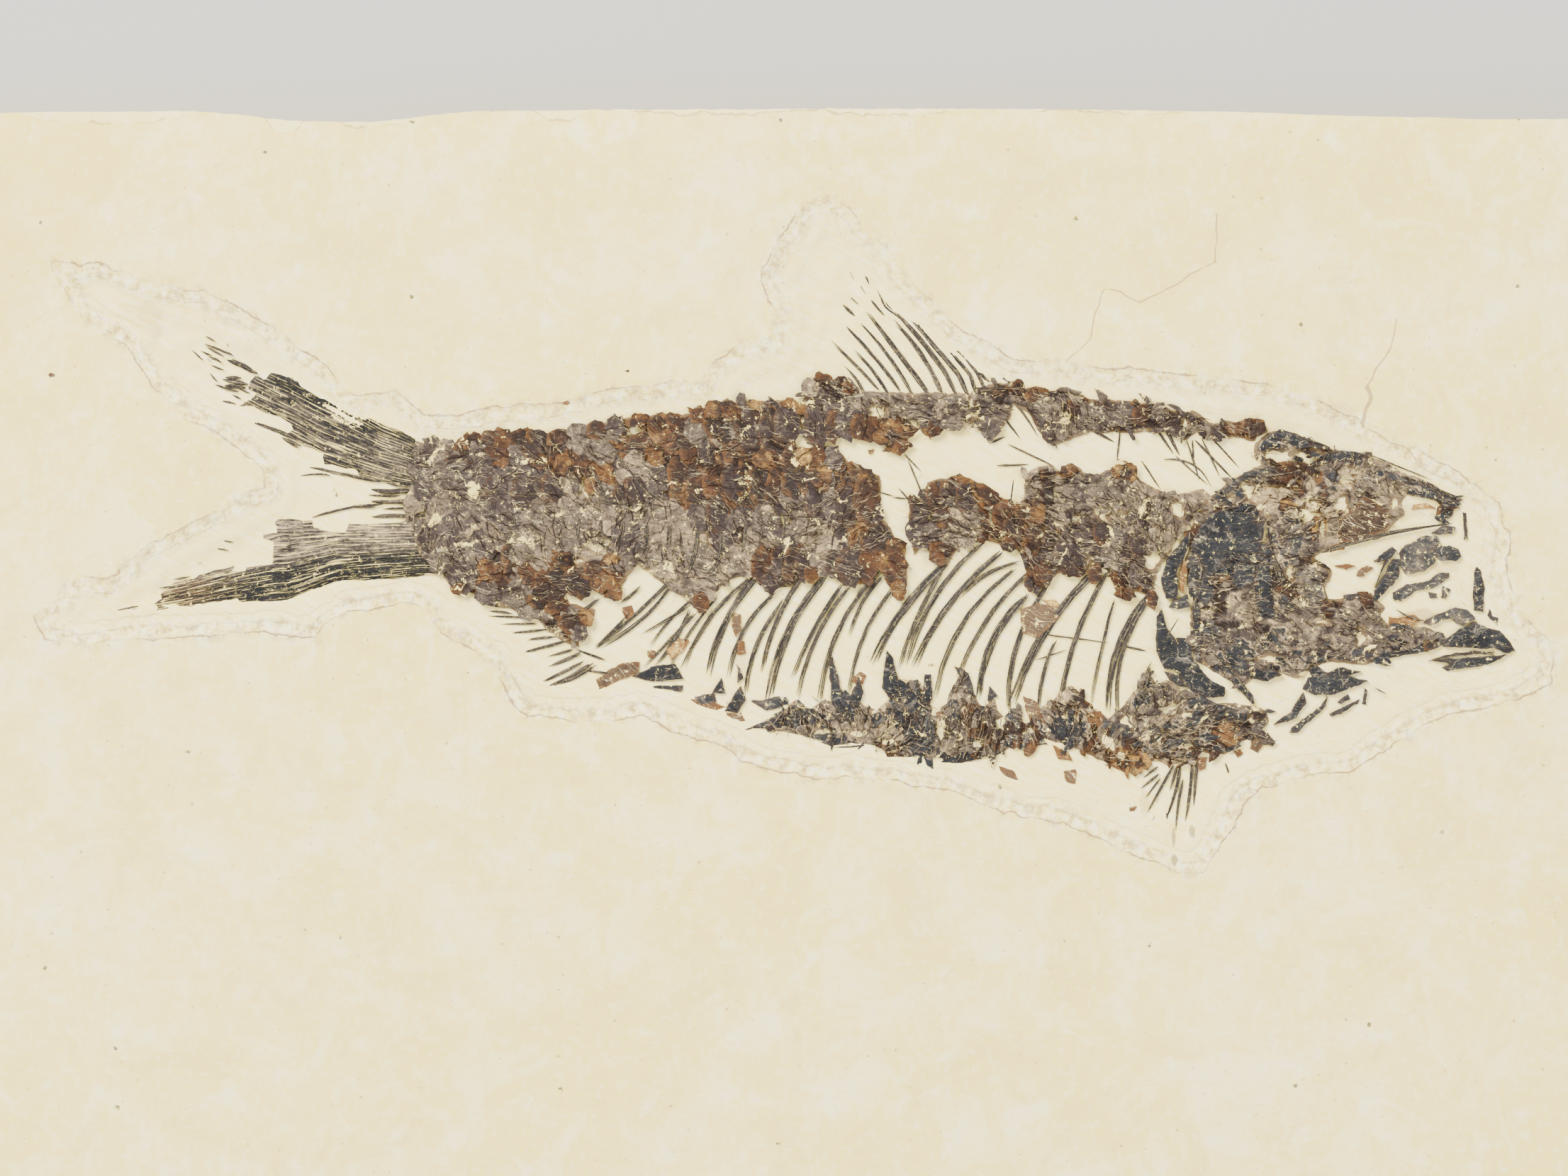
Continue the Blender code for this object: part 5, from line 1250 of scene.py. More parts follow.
# every strand is its girth, then its line; a bundle is a seed, how many splinters and how thick
strandPieces = {
    "ribs": {
        "bundle": (5, 3, 1.0), "slot": "rib_bone", "nodes": ["backbone_and_ribs"], "low": 7.58,
        "high": 7.72, "blunt": 0.3, "seed": 2.0, "wander": 0.00006,
        "lines": (
        (0.19, -2.8,12.3, -8.6,4.5, -0.75), (0.27, -2.2,12.5, -6.4,4.2, -0.7), (0.17, -0.8,11, -4.7,4,
        -0.75), (0.17, -0.2,10.2, -3.3,2.5, -0.6), (0.18, 1.5,12.3, -1.8,4.6, -0.5), (0.28, 3.6,12.6,
        -1.3,2, -0.9), (0.16, 5,11.8, 0.7,3.8, -0.35), (0.18, 5.5,11.5, 1.1,2, -0.7), (0.18, 8.3,13, 3,2,
        -1.1), (0.14, 8.5,12.5, 5.6,7.5, -0.45), (0.16, 9.3,11.5, 5.5,2.5, -0.75), (0.28, 13.7,13.5, 7.5,5,
        -0.6), (0.16, 13.5,13, 9.8,4.7, -0.4), (0.19, 16.8,15.2, 10.4,5, -1), (0.26, 18.5,14.5, 11,4.8,
        -0.85), (0.16, 19.8,13.6, 15,10.8, -0.45), (0.18, 19.5,13, 12.8,2, -1.35), (0.18, 20.5,12.5, 14.8,4,
        -0.65), (0.27, 20.5,10.7, 16.5,2, -1), (0.18, 22.2,11.5, 19,1, -0.95), (0.3, 26.5,13, 19.3,1.5,
        -0.9), (0.15, 23,7, 21.6,1, -0.35), (0.19, 27.5,13, 23.3,1, -0.7), (0.12, 28,10.5, 26,1.5, -0.15),
        (0.25, 31,11, 27.4,1, -0.95), (0.15, 31,10.5, 28.2,1, -0.95), (0.13, 31,5, 30.2,1.5, -0.15), (0.16,
        -8,13.9, -16.2,6.2, 0.35), (0.15, -9.5,11.7, -15.5,6.5, 0.55), (0.13, -8,9.9, -12,7.5), (0.14,
        -8,9.5, -10.7,5, 0.2), (0.13, -12.3,11.4, -13.8,10.1), (0.16, -13.3,9, -16,6.3), (0.15, -15.5,10.7,
        -18.5,8.3), (0.13, -6.3,11.6, -11.3,6.6, -0.35), (0.12, -7.4,9.4, -12,4.6), (0.12, -5.6,10.7,
        -9.8,4.4, -0.3))},
    "needles": {
        "slot": "rib_bone", "low": 7.6, "high": 7.64, "blunt": 0.45, "seed": 3.0, "tone": 0.12,
        "lines": (
        (0.09, 5,22, 8.2,20.2), (0.07, 10.5,22.3, 11.9,18.9), (0.07, 10.2,22.8, 11.6,21.3), (0.06,
        11.3,20.7, 11.8,21.2), (0.07, 9.7,19.9, 11,18.4), (0.06, 8,19.6, 9.3,19.2), (0.07, 9.2,19.1,
        10.5,19), (0.08, 17.5,23.7, 18.8,24.3), (0.09, 18,21.8, 20.8,21.9), (0.07, 18.1,19, 19.5,18.8),
        (0.08, 19,23.6, 23,21.7), (0.12, 25.4,25.2, 28,23.8), (0.08, 28.5,24.8, 28.2,22.2), (0.08,
        30.3,22.2, 31.9,19.8), (0.1, 13,28, 17.5,23.6, 0.55), (0.09, 13.6,28, 17.9,23.8, 0.2), (0.1,
        17.5,27.4, 20,24.1), (0.11, 20,28, 23.2,23.2, 0.2), (0.1, 18,28.5, 21.5,24.3, 0.3), (0.11, 31.5,25,
        33,22.8), (0.15, 32.2,25.2, 33.5,22.7), (0.08, 34.6,24, 34.7,22.2), (0.1, 34.8,24, 38,20.7), (0.08,
        34.1,24, 35.2,20.6), (0.09, 35.4,24.1, 36.9,20.9), (0.07, 36,24.4, 38.6,21.6), (0.08, 33.2,22.6,
        35.9,20.2), (0.08, 32.2,22.3, 36.2,20, 0.9), (0.06, 21.3,5.3, 24,6.2), (0.07, 22,7.5, 27.5,6.8),
        (0.1, 28.8,6.5, 30.7,6.1), (0.14, -6.8,13.9, -8,11.8), (0.13, -4.9,14, -6,12.4))},
    "spineBones": {
        "bundle": (6, 2, 1.0), "slot": "rib_bone", "low": 8.05, "high": 8.05, "blunt": 0.6, "seed": 12.0,
        "wander": 0.00012,
        "lines": (
        (0.07, -26.5,22.7, -24.3,20.9), (0.07, -23.3,21.3, -20.9,19.8), (0.11, -16.7,22.2, -15,18.7, 0.15),
        (0.08, -17.7,18.5, -11.2,18.25, 0.2), (0.08, -15.3,18.7, -9.3,18.2, 0.2), (0.09, -12,22, -8.8,18.5,
        0.25), (0.09, -13.3,21.8, -10,18.5, -0.35), (0.07, -9.8,22.4, -5.9,16.4, 0.3), (0.07, -27.2,23.2,
        -26,21.6), (0.08, -3.2,19.2, -1.6,16.9), (0.2, -22.9,17.5, -22.8,16.7), (0.22, -21.1,17.2,
        -21.4,16.3), (0.22, -19.5,17.3, -19.7,16.4), (0.15, -18.8,16.4, -19.1,15.7), (0.26, -17.3,17.2,
        -17.5,15.9), (0.28, -15.5,17.3, -15.5,16), (0.2, -13.6,16.8, -13.8,15.2), (0.24, -11.6,16.8,
        -11.7,14.9), (0.22, -9.7,16.5, -9.8,15), (0.26, -7.4,16.3, -8.2,12.6, 0.25), (0.24, -5.4,16.4,
        -6.4,12.6, 0.5), (0.2, -3.2,16.9, -3.5,14.6), (0.13, -1.9,17, -2.1,14.6), (0.1, 0.2,18.3, 0,15.6),
        (0.08, 2.2,18, 1.8,15.8), (0.1, 4.3,16.6, 4,14.8), (0.09, 8.8,17.2, 8.6,15.2), (0.08, 6.6,16.6,
        6.2,15), (0.08, 26.9,18.4, 26.2,15.9), (0.12, 24.6,18.8, 24.2,16.6), (0.1, 28.4,17.6, 28.1,15.6),
        (0.09, 19.4,20.4, 19.1,18.1))},
    "dorsalRays": {
        "bundle": (7, 2, 1.7), "slot": "fin_rays", "nodes": ["dorsal_fin"], "low": 7.55, "high": 7.66,
        "bulb": 0.75, "blunt": 0.15, "seed": 4.0,
        "lines": (
        (0.15, 16.9,28.5, 16.5,29.5, 15.3,31, 13,33.2, 11.5,35, 10.7,36.4), (0.17, 16.2,28.1, 15.8,29.5,
        10.3,35.9), (0.2, 15.5,27.9, 14.8,29.5, 11,34, 9,36, 8.4,37.4), (0.2, 14.5,28.1, 13.5,30, 12,32,
        10,34.3, 8.7,35.3, 8,36.6), (0.2, 13.3,28, 9.3,34, -0.4), (0.17, 12.2,28, 7,34.9), (0.15, 10.8,28,
        6.4,34, -0.25), (0.14, 9.8,28.2, 5.2,33.6, -0.15), (0.12, 8.6,28.2, 6,31.5, -0.15), (0.12, 7.8,28.4,
        4.1,32.2, -0.1), (0.11, 6.8,28, 5.3,30, -0.1), (0.13, 18,29.2, 16.5,30.8), (0.13, 17.2,29,
        15.5,31))},
    "dorsalBits": {
        "slot": "fin_rays", "low": 7.56, "high": 7.58, "blunt": 0.6, "seed": 5.0, "tone": 0.2,
        "lines": (
        (0.11, 7.4,35.8, 8.5,34.5), (0.11, 6.3,39.3, 6.6,39), (0.14, 7.6,38.8, 8.1,38), (0.13, 6.8,38.3,
        7.2,37.2), (0.15, 9.6,37.4, 10,36.3), (0.13, 6.5,37, 6.9,36.4), (0.14, 5.7,36, 6.3,35.5), (0.13,
        5,35.4, 6,34.5), (0.09, 7.1,39.5, 7.3,38.9), (0.08, 5.6,38.2, 5.9,37.6), (0.08, 8.9,38, 9.2,37.4))},
    "analRays": {
        "bundle": (8, 2, 1.3), "slot": "fin_rays", "nodes": ["anal_fin"], "low": 7.55, "high": 7.68,
        "bulb": 0.3, "blunt": 0.15, "seed": 6.0,
        "lines": (
        (0.17, -16.2,5.1, -21.5,2.3, 0.15), (0.14, -16,4.9, -20.5,3, 0.35), (0.15, -17,5.2, -20.5,3.4),
        (0.16, -17,6, -19.9,4.7), (0.14, -18,6.2, -19.8,5.6), (0.15, -18.5,6.9, -21.9,6), (0.13, -19.5,7.3,
        -22,7), (0.13, -20.2,7.9, -23.3,7.6), (0.12, -21,8.4, -24,8.4), (0.12, -21.8,8.9, -24.8,9.1), (0.11,
        -23,9.3, -25.3,9.5), (0.11, -23.5,9.8, -25.3,10), (0.13, -15.4,5.4, -17.6,6.2), (0.12, -14.8,4.2,
        -17.2,4.5))},
    "pelvicRays": {
        "slot": "fin_rays", "nodes": ["pelvic_fin"], "low": 7.55, "high": 7.64, "bulb": 0.3,
        "blunt": 0.2, "seed": 7.0,
        "lines": (
        (0.14, 6.8,-1.6, 6,-2.6, 4,-2.7, 1,-2.3), (0.12, 6.8,-1.9, 1.6,-1.9, 0.2), (0.12, 6.6,-2.6,
        1.2,-2.7, 0.35), (0.1, 2,-3.2, 0,-3.6), (0.1, 6,-1.6, 3,-1.7))},
    "pectoralRays": {
        "slot": "fin_rays", "nodes": ["pectoral_fin"], "low": 7.55, "high": 7.66, "bulb": 0.3,
        "blunt": 0.2, "seed": 8.0,
        "lines": (
        (0.1, 31.7,-3.7, 30.4,-4.7), (0.1, 31.8,-4.3, 30.2,-5.6), (0.1, 31.9,-4.7, 30.6,-6.4), (0.13,
        33,-3.6, 30.8,-7.6), (0.12, 33.3,-3.6, 32.7,-5.8), (0.14, 33.6,-3.5, 32.3,-8.3, 0.2), (0.13,
        33.8,-4.8, 33.2,-9.1, -0.1), (0.15, 34.6,-3.3, 34,-8.4, 0.1), (0.14, 35,-3.3, 34.7,-7.1), (0.11,
        37.4,-3.4, 38.5,-6.6), (0.08, 33.3,-10.2, 33.4,-10.7), (0.08, 34.4,-9.9, 34.5,-11), (0.08,
        32.4,-7.6, 32.5,-8.4), (0.07, 31.4,-7.9, 31.1,-8.5))},
    "tailBits": {
        "slot": "fin_rays", "low": 7.58, "high": 7.72, "blunt": 0.5, "seed": 9.0, "tone": 0.1,
        "wander": 0.00025,
        "lines": (
        (0.16, -44.6,29.6, -46.4,30.4), (0.2, -44.9,29.8, -47.2,30.7, -0.1), (0.15, -45.2,30.1, -46.8,30.8),
        (0.18, -45.4,28.7, -47.6,29.1), (0.2, -45.6,28.4, -47.4,28.6), (0.14, -46,29.2, -47.4,29.3), (0.1,
        -46.2,28, -48.2,28.7), (0.09, -48,30.7, -48.8,31.1), (0.09, -46.6,31.1, -49.1,32.1), (0.08,
        -47.4,31, -49,31.9), (0.1, -48.2,32.3, -49,32.8), (0.07, -49.4,31.5, -48.4,31.1), (0.1, -49,34,
        -49.3,34.2), (0.12, -47.1,31.9, -47.3,32.5), (0.09, -46,27.4, -46.8,27.8), (0.09, -46.4,27,
        -47.9,27.3), (0.08, -45.2,27.9, -46.2,28.3), (0.08, -48,28.9, -48.7,29.7), (0.07, -47.4,29.9,
        -48.6,30.3), (0.1, -47.6,30.5, -48.3,31), (0.1, -48.5,30.6, -48.9,30.9), (0.06, -49.2,30.7,
        -50.2,31.6), (0.16, -41.3,24, -46,25.6, -0.2), (0.12, -40.9,23.5, -42.6,24.2), (0.07, -41.1,23.3,
        -42.4,24), (0.14, -34.2,20.4, -40.2,21.7), (0.08, -38.4,21, -41,20.9, -0.15), (0.22, -31.4,19.8,
        -35,19.8, 0.2), (0.2, -31.2,18.8, -35,18.8, 0.1), (0.1, -32.5,19.2, -35.2,19.3), (0.11, -34,18.5,
        -40,17.4, -0.25), (0.09, -34.6,18.3, -36.4,18.2), (0.18, -30.4,17.6, -34.9,17.5), (0.13, -31.5,16.5,
        -34.8,16.5), (0.1, -31.6,18.2, -34,18.1), (0.08, -53.3,10.1, -52.4,10.6), (0.08, -54.7,9.9,
        -57.3,9.4), (0.09, -54.6,9.5, -56.2,9.3), (0.08, -54.8,9.2, -56.4,9.1), (0.07, -54.8,9.7,
        -55.8,9.5), (0.1, -54.6,8.9, -55.2,8.9), (0.09, -49.3,13.6, -49.7,13.5), (0.07, -46.6,15.3,
        -47.9,15.5), (0.06, -47,14.6, -48.2,14.8), (0.08, -51.6,11.5, -53,11.4), (0.08, -50.3,12.4,
        -51.8,12.1))},
    "headLines": {
        "slot": "head_bone", "low": 7.86, "high": 7.96, "blunt": 0.4, "seed": 11.0,
        "lines": (
        (0.13, 45.5,14.4, 56.6,16.9, 0.3), (0.08, 46,14.7, 54.6,16.7, 0.25), (0.1, 41.3,13.6, 42.8,9.2,
        0.15), (0.1, 41.5,14, 43.7,9.4), (0.09, 41,16.8, 42.7,12, -0.4), (0.08, 40.9,17.4, 41,15.6), (0.16,
        34.9,14.6, 35.4,13, 34.8,10, 34.7,7.2, 35,5.4), (0.1, 35.9,15.4, 35.5,12.2, -0.4), (0.12, 36.2,6,
        39.9,1.3, 0.4), (0.08, 36,5.6, 38.6,2.6, 0.25), (0.12, 44,24.1, 46.3,23.3), (0.09, 52.2,20.9,
        57.5,18.9, 0.1), (0.07, 49.6,22.7, 54.8,20.6), (0.09, 51.8,9.6, 54.4,8.6, -0.15), (0.08, 57.4,10.2,
        57.8,9.9), (0.06, 57.4,11.4, 57.5,11), (0.06, 50,3, 51.1,2.4), (0.05, 49.9,2.8, 50.6,2.5), (0.05,
        41.9,1.7, 42.3,2), (0.09, 50.2,5.1, 51.4,4.8), (0.06, 51,4.1, 51.4,3.9), (0.1, 31,4.6, 30.3,1.6),
        (0.08, 31.3,3, 30.8,0.9), (0.07, 33.4,8.9, 32,9.4, 2.25), (0.1, 39.8,20.9, 44.8,21.5, -0.1), (0.08,
        54.5,17.5, 55,17.7), (0.07, 45.2,15, 47.2,19.2, 0.75))},
}
for name, strand in strandPieces.items():
    strands(name, **strand)
print("ribs, needles, fins and bone edges swept")


# bone plates
def boneFinish():
    # tone 0 is slate, 0.5 crushed grey, 1 pale
    kit = Finish("slateBone")
    spot = kit.place()
    luck = kit.attribute("luck")
    own = kit.shifted(spot, kit.scaled(kit.joined(luck, luck, luck), (70, 40, 20)))
    bent = kit.warped(own, 0.5, 2.4)
    bend = kit.warped(own, 0.3, 1.6)
    streaks = kit.cloud(kit.scaled(bent, (0.7, 1.7, 1)), 1.9, 5, 0.74)
    sheen = kit.cloud(bend, 0.55, 3, 0.5)
    grain = kit.cloud(spot, 5, 3, 0.7)
    broken = kit.attribute("tone")
    tone = broken * 0.8 + 0.1 + (sheen - 0.5) * 0.75 + (streaks - 0.5) * (0.25 + broken * 1.1)
    tone = tone + (grain - 0.5) * 0.2
    stops = ((0, (0.006, 0.0064, 0.0078)), (0.22, (0.0135, 0.0145, 0.0165)), (0.42, (0.038, 0.0355, 0.033)),
             (0.62, (0.12, 0.092, 0.063)), (0.95, (0.48, 0.36, 0.19)))
    kit.colour = kit.ramp(tone.clamp(), stops)
    mottle = kit.cloud(kit.shifted(spot, (7, 0, 3)), 0.8, 4, 0.7).rise(0.55, 0.66)
    kit.wash(mottle * (0.2 + broken * 0.6), (0.06, 0.036, 0.022))
    smudge = kit.cloud(kit.scaled(kit.shifted(bent, (3, 0, 9)), (0.7, 1.4, 1)), 1, 6, 0.76).rise(0.545, 0.7)
    kit.wash(smudge * 0.6, (0.2, 0.17, 0.125))
    rim = (kit.attribute("rim") + (streaks - 0.5) * 0.9).rise(0.16, 0.02)
    kit.wash(rim * 0.5, (0.05, 0.03, 0.019))
    for turn, shift, share, tint in ((0.6, 3, 0.8, "ink"), (-0.4, 31, 0.6, "dust"),
                                     (0.1, 91, 0.35, "blush")):
        hairs = kit.hairs(kit.shifted(bend, (shift, shift, 0)), turn)
        kit.wash(hairs * share * mottle.rise(-0.2, 0.6), tint)
    crack = kit.cells(bent, 0.3, "DISTANCE_TO_EDGE").rise(0.009, 0.003) * sheen.rise(0.5, 0.56)
    kit.wash(crack * 0.35, "blush")
    flecks = kit.cloud(kit.shifted(spot, (0, 3, 9)), 1.7, 5, 0.76)
    flecks = (flecks + (broken - 0.5) * 0.09).rise(0.6, 0.63)
    kit.wash(flecks * 0.9, "cream")
    return kit.finish(0.44 + 0.25 * streaks, 0.16, streaks * 0.9 + sheen * 1.5 + grain * 0.4)


def stainFinish():
    # thin brown and amber bone: tone 0 dark, 1 honey
    kit = Finish("stainedBone")
    spot = kit.place()
    patch = kit.cloud(spot, 0.7, 4, 0.66)
    speckle = kit.cloud(spot, 3.2, 4, 0.75)
    tone = kit.attribute("tone") + (patch - 0.5) * 0.45 + (speckle - 0.5) * 0.3
    stops = ((0, (0.013, 0.008, 0.006)), (0.26, (0.042, 0.024, 0.014)), (0.44, (0.115, 0.072, 0.038)),
             (0.58, (0.095, 0.041, 0.015)), (0.8, (0.23, 0.11, 0.028)), (1, (0.62, 0.4, 0.1)))
    kit.colour = kit.ramp(tone.clamp(), stops)
    bend = kit.warped(spot, 0.3, 1.6)
    kit.wash(kit.hairs(bend, 0.4) * 0.6, "blush")
    kit.wash(kit.hairs(kit.shifted(bend, (20, 5, 0)), 1.2) * 0.6, "sepia")
    rim = (kit.attribute("rim") + (speckle - 0.5) * 1).rise(0.22, 0.02)
    kit.wash(rim * 0.6, "amber")
    flecks = kit.cloud(kit.shifted(spot, (0, 7, 9)), 1.6, 5, 0.76).rise(0.61, 0.64)
    kit.wash(flecks * 0.8, "cream")
    return kit.finish(0.45 + 0.2 * speckle, 0.16, speckle + patch, 0.00005, 0.8)


def tailFinish():
    kit = Finish("tailRays")
    spot = kit.place()
    across, along = kit.attribute("across"), kit.attribute("along")
    shade = kit.attribute("shade")
    fan = kit.joined(across * 26, along * 0.34, 0)
    fine = kit.cloud(fan, 1.5, 4, 0.72)
    coarse = kit.cloud(kit.joined(across * 11 + 9, along * 0.2, 0), 1.2, 2, 0.6)
    grain = kit.cloud(spot, 4, 3, 0.7)
    murk = kit.cloud(kit.shifted(spot, (0, 40, 0)), 0.35, 4, 0.65)
    value = 0.5 + (fine - 0.5) * 0.95 + (coarse - 0.5) * 0.6 + (murk - 0.5) * 0.5 + (grain - 0.5) * 0.2
    rays = (across * 120 + (coarse - 0.5) * 9 + fine * 2).math("SINE")
    value = value - (shade - 0.5) * 0.4 - 0.03 + rays * 0.07
    stops = ((0.22, (0.006, 0.006, 0.0068)), (0.4, (0.017, 0.015, 0.014)), (0.52, (0.048, 0.038, 0.029)),
             (0.66, (0.11, 0.083, 0.058)), (0.85, (0.36, 0.27, 0.15)))
    kit.colour = kit.ramp(value.clamp(), stops)
    warm = (along * -1).rise(14, 21) * fine.rise(0.4, 0.6)
    kit.wash(warm * 0.55, (0.13, 0.06, 0.022))
    # the rays are jointed, and split apart towards their ends
    joints = (along * 1.15 + coarse * 4).math("FRACT")
    nicks = joints.rise(0.05, 0.02) * grain.rise(0.44, 0.56)
    slits = kit.cloud(kit.joined(across * 34 + 21, along * 0.16, 0), 1.3, 3, 0.6)
    slits = (slits + (along * -1).rise(8, 22) * 0.05).rise(0.62, 0.66)
    flecks = kit.cloud(kit.shifted(spot, (0, 7, 9)), 1.6, 5, 0.76).rise(0.64, 0.67)
    parted = rays.rise(0.7, 0.98) * murk.rise(0.42, 0.62) * 0.28
    kit.wash((nicks * 0.4 + slits * 0.9 + flecks + parted).clamp(), "cream")
    dashes = kit.cloud(kit.joined(across * 30 + 33, along * 0.8, 0), 1.1, 3, 0.6).rise(0.4, 0.35)
    kit.wash(dashes * 0.85, "ink")
    return kit.finish(0.6, 0.16, fine * 1.4 + coarse + grain * 0.3)


tailLobes = {
    "upperLobe": {
        "outline": (
            -31.2,24, -32.5,24.8, -34,25.3, -36.5,26.7, -38,27.5, -40,28.3, -41.5,29.3, -42.6,29.6,
            -43.4,29.7, -44,29.1, -44.8,29.4, -45.2,28.9, -45.4,28.3, -44.6,28, -45.2,27.3, -46.2,26.9,
            -45,26.8, -43,26, -41.7,25.4, -41.6,24.9, -42.4,24.3, -41.5,24, -40.4,23.4, -39,22.8, -39,21.9,
            -36.2,21.5, -36,21, -34.3,20.5, -33,20.1, -31.2,19.9),
        "top": (-31.2,24.1, -34,25.3, -38,27.6, -41.5,29.4, -46,31.4),
        "foot": (-31.2,19.8, -34,20.3, -36,20.8, -39,21.7, -42,23.3, -46,25.4),
        "dark": (0.8, 1.1), "murk": 0.4, "node": "tail_fin_upper"},
    "lowerLobe": {
        "outline": (
            -29.3,12.7, -32,12.3, -36,11.9, -38,11.9, -40,11.3, -42.3,10.3, -43.5,10.2, -46.2,10.1,
            -46.3,10.6, -48.8,10, -50.8,9.6, -53.6,9.05, -53.4,9.9, -53.2,10.3, -52.6,10.4, -52.8,10.9,
            -52.2,11.3, -51.6,11.9, -50,12.2, -49.6,12.6, -48,13, -46.6,13.3, -46.8,12.8, -45.6,12.8,
            -45.6,13.2, -43.9,13.4, -43.4,13.5, -43.2,15.4, -44.1,15.7, -44.1,16, -43,16.1, -43.1,17.3,
            -41.5,17.3, -40,17.1, -39.9,16.6, -39.2,16.3, -37.2,16.2, -36.8,16.9, -35,16.8, -32.5,17,
            -31.2,17.2, -31,14.5),
        "top": (-53.6,13.4, -48,15.5, -43,17.4, -31,17.2),
        "foot": (-53.6,8.9, -46,9.9, -42,10.2, -38,11.8, -31,12.5),
        "dark": (-0.1, 0.42), "murk": 0.05, "node": "tail_fin_lower"},
}
scuteOutlines = (
    (0, 7.82, -12.9,3.9, -11.2,4.8, -9.2,5, -8.4,3.7, -11,3.5), (0.1, 7.78, -12,3.1, -8.5,3.2, -8.6,2.6),
    (0.15, 7.8, -5.3,3.9, -4.9,2.6, -6.1,2.5), (0.1, 7.8, -4,5, -3.4,3.8, -3.9,3.4), (0, 7.8, -3.7,3.2,
    -5,1, -4,0.9, -3.2,2), (0.1, 7.78, -3.3,-0.6, 0,0.9, 2,1.3, 4,0.6, 4,-0.3, 0,-0.3), (0.05, 7.86, 4,5.9,
    5.3,1.5, 5.1,0.1, 4.1,1.5, 3.8,3.8), (0.05, 7.86, 5,0.1, 5.4,2, 6.4,3.9, 6.7,2.5, 5.9,0), (0, 7.88,
    8.7,6.1, 9.2,5.5, 9.9,2.3, 8.9,2.1, 8.3,3), (0, 7.82, 9.3,2, 10.1,2, 10.4,0, 9.4,-0.8), (0.05, 7.86,
    10.2,-0.3, 10.7,3.5, 11.4,3.7, 11.6,1.5, 11.3,-0.3), (0, 7.84, 11.9,4.1, 12.5,4.1, 12.6,2, 11.5,1),
    (0.05, 7.8, 12.8,-0.2, 11.3,-1.5, 12,-2.1, 13.1,-2), (0.1, 7.84, 14.3,3.1, 15,1, 14.9,-0.1, 13.7,0.1),
    (0.1, 7.82, 14.4,4.8, 15.1,4.6, 15.1,3.4), (0.2, 7.8, 15.2,4.4, 15.6,4.2, 16.2,2.3, 15.7,2.1), (0.1,
    7.78, 17.4,3.2, 18.1,2.3, 17.3,1.8), (0.05, 7.76, 10,-2.6, 12,-2.2, 14,-2.3, 12.5,-3), (0.05, 7.76,
    12.7,-3.5, 15.5,-1.9, 17.5,-2.8, 15,-3.4), (0.1, 7.82, 16.6,1.5, 17.1,1.4, 18.6,-1.7, 17.8,-1.9), (0.1,
    7.82, 19.2,1.1, 19.6,0.9, 20.2,-0.5, 19.6,-0.7), (0.1, 7.82, 21.7,1.2, 23.5,0.6, 25.4,-1.5, 24.2,-2.3,
    22.4,-0.5), (0, 7.84, 24.4,0.6, 26.1,-1, 25.3,-1.3), (0.3, 7.74, -2.8,1.9, -0.4,2.2, 0.2,1.5, -1.5,1),
    (0.2, 7.76, 6.6,0.4, 8.6,1.1, 9,0.2, 7.4,-0.6), (0.35, 7.74, 19,-1.2, 21.6,-0.8, 22.4,-1.8, 20,-2.3),
    (0.25, 7.78, 27,0.4, 29.2,-0.2, 29.6,-1.3, 27.4,-1.2), (0.4, 7.74, 29.8,0.6, 31.6,0.9, 32,-1,
    30.2,-1.4), (0.3, 7.76, -7.6,2.2, -5.9,2.6, -5.7,1.8, -7.2,1.5), (0.2, 7.76, 1.6,-1, 4.4,-0.9, 6.4,-1.5,
    4,-2), (0.45, 7.72, 14.6,-0.6, 16.8,-0.3, 17.2,-1.4, 15.2,-1.7))
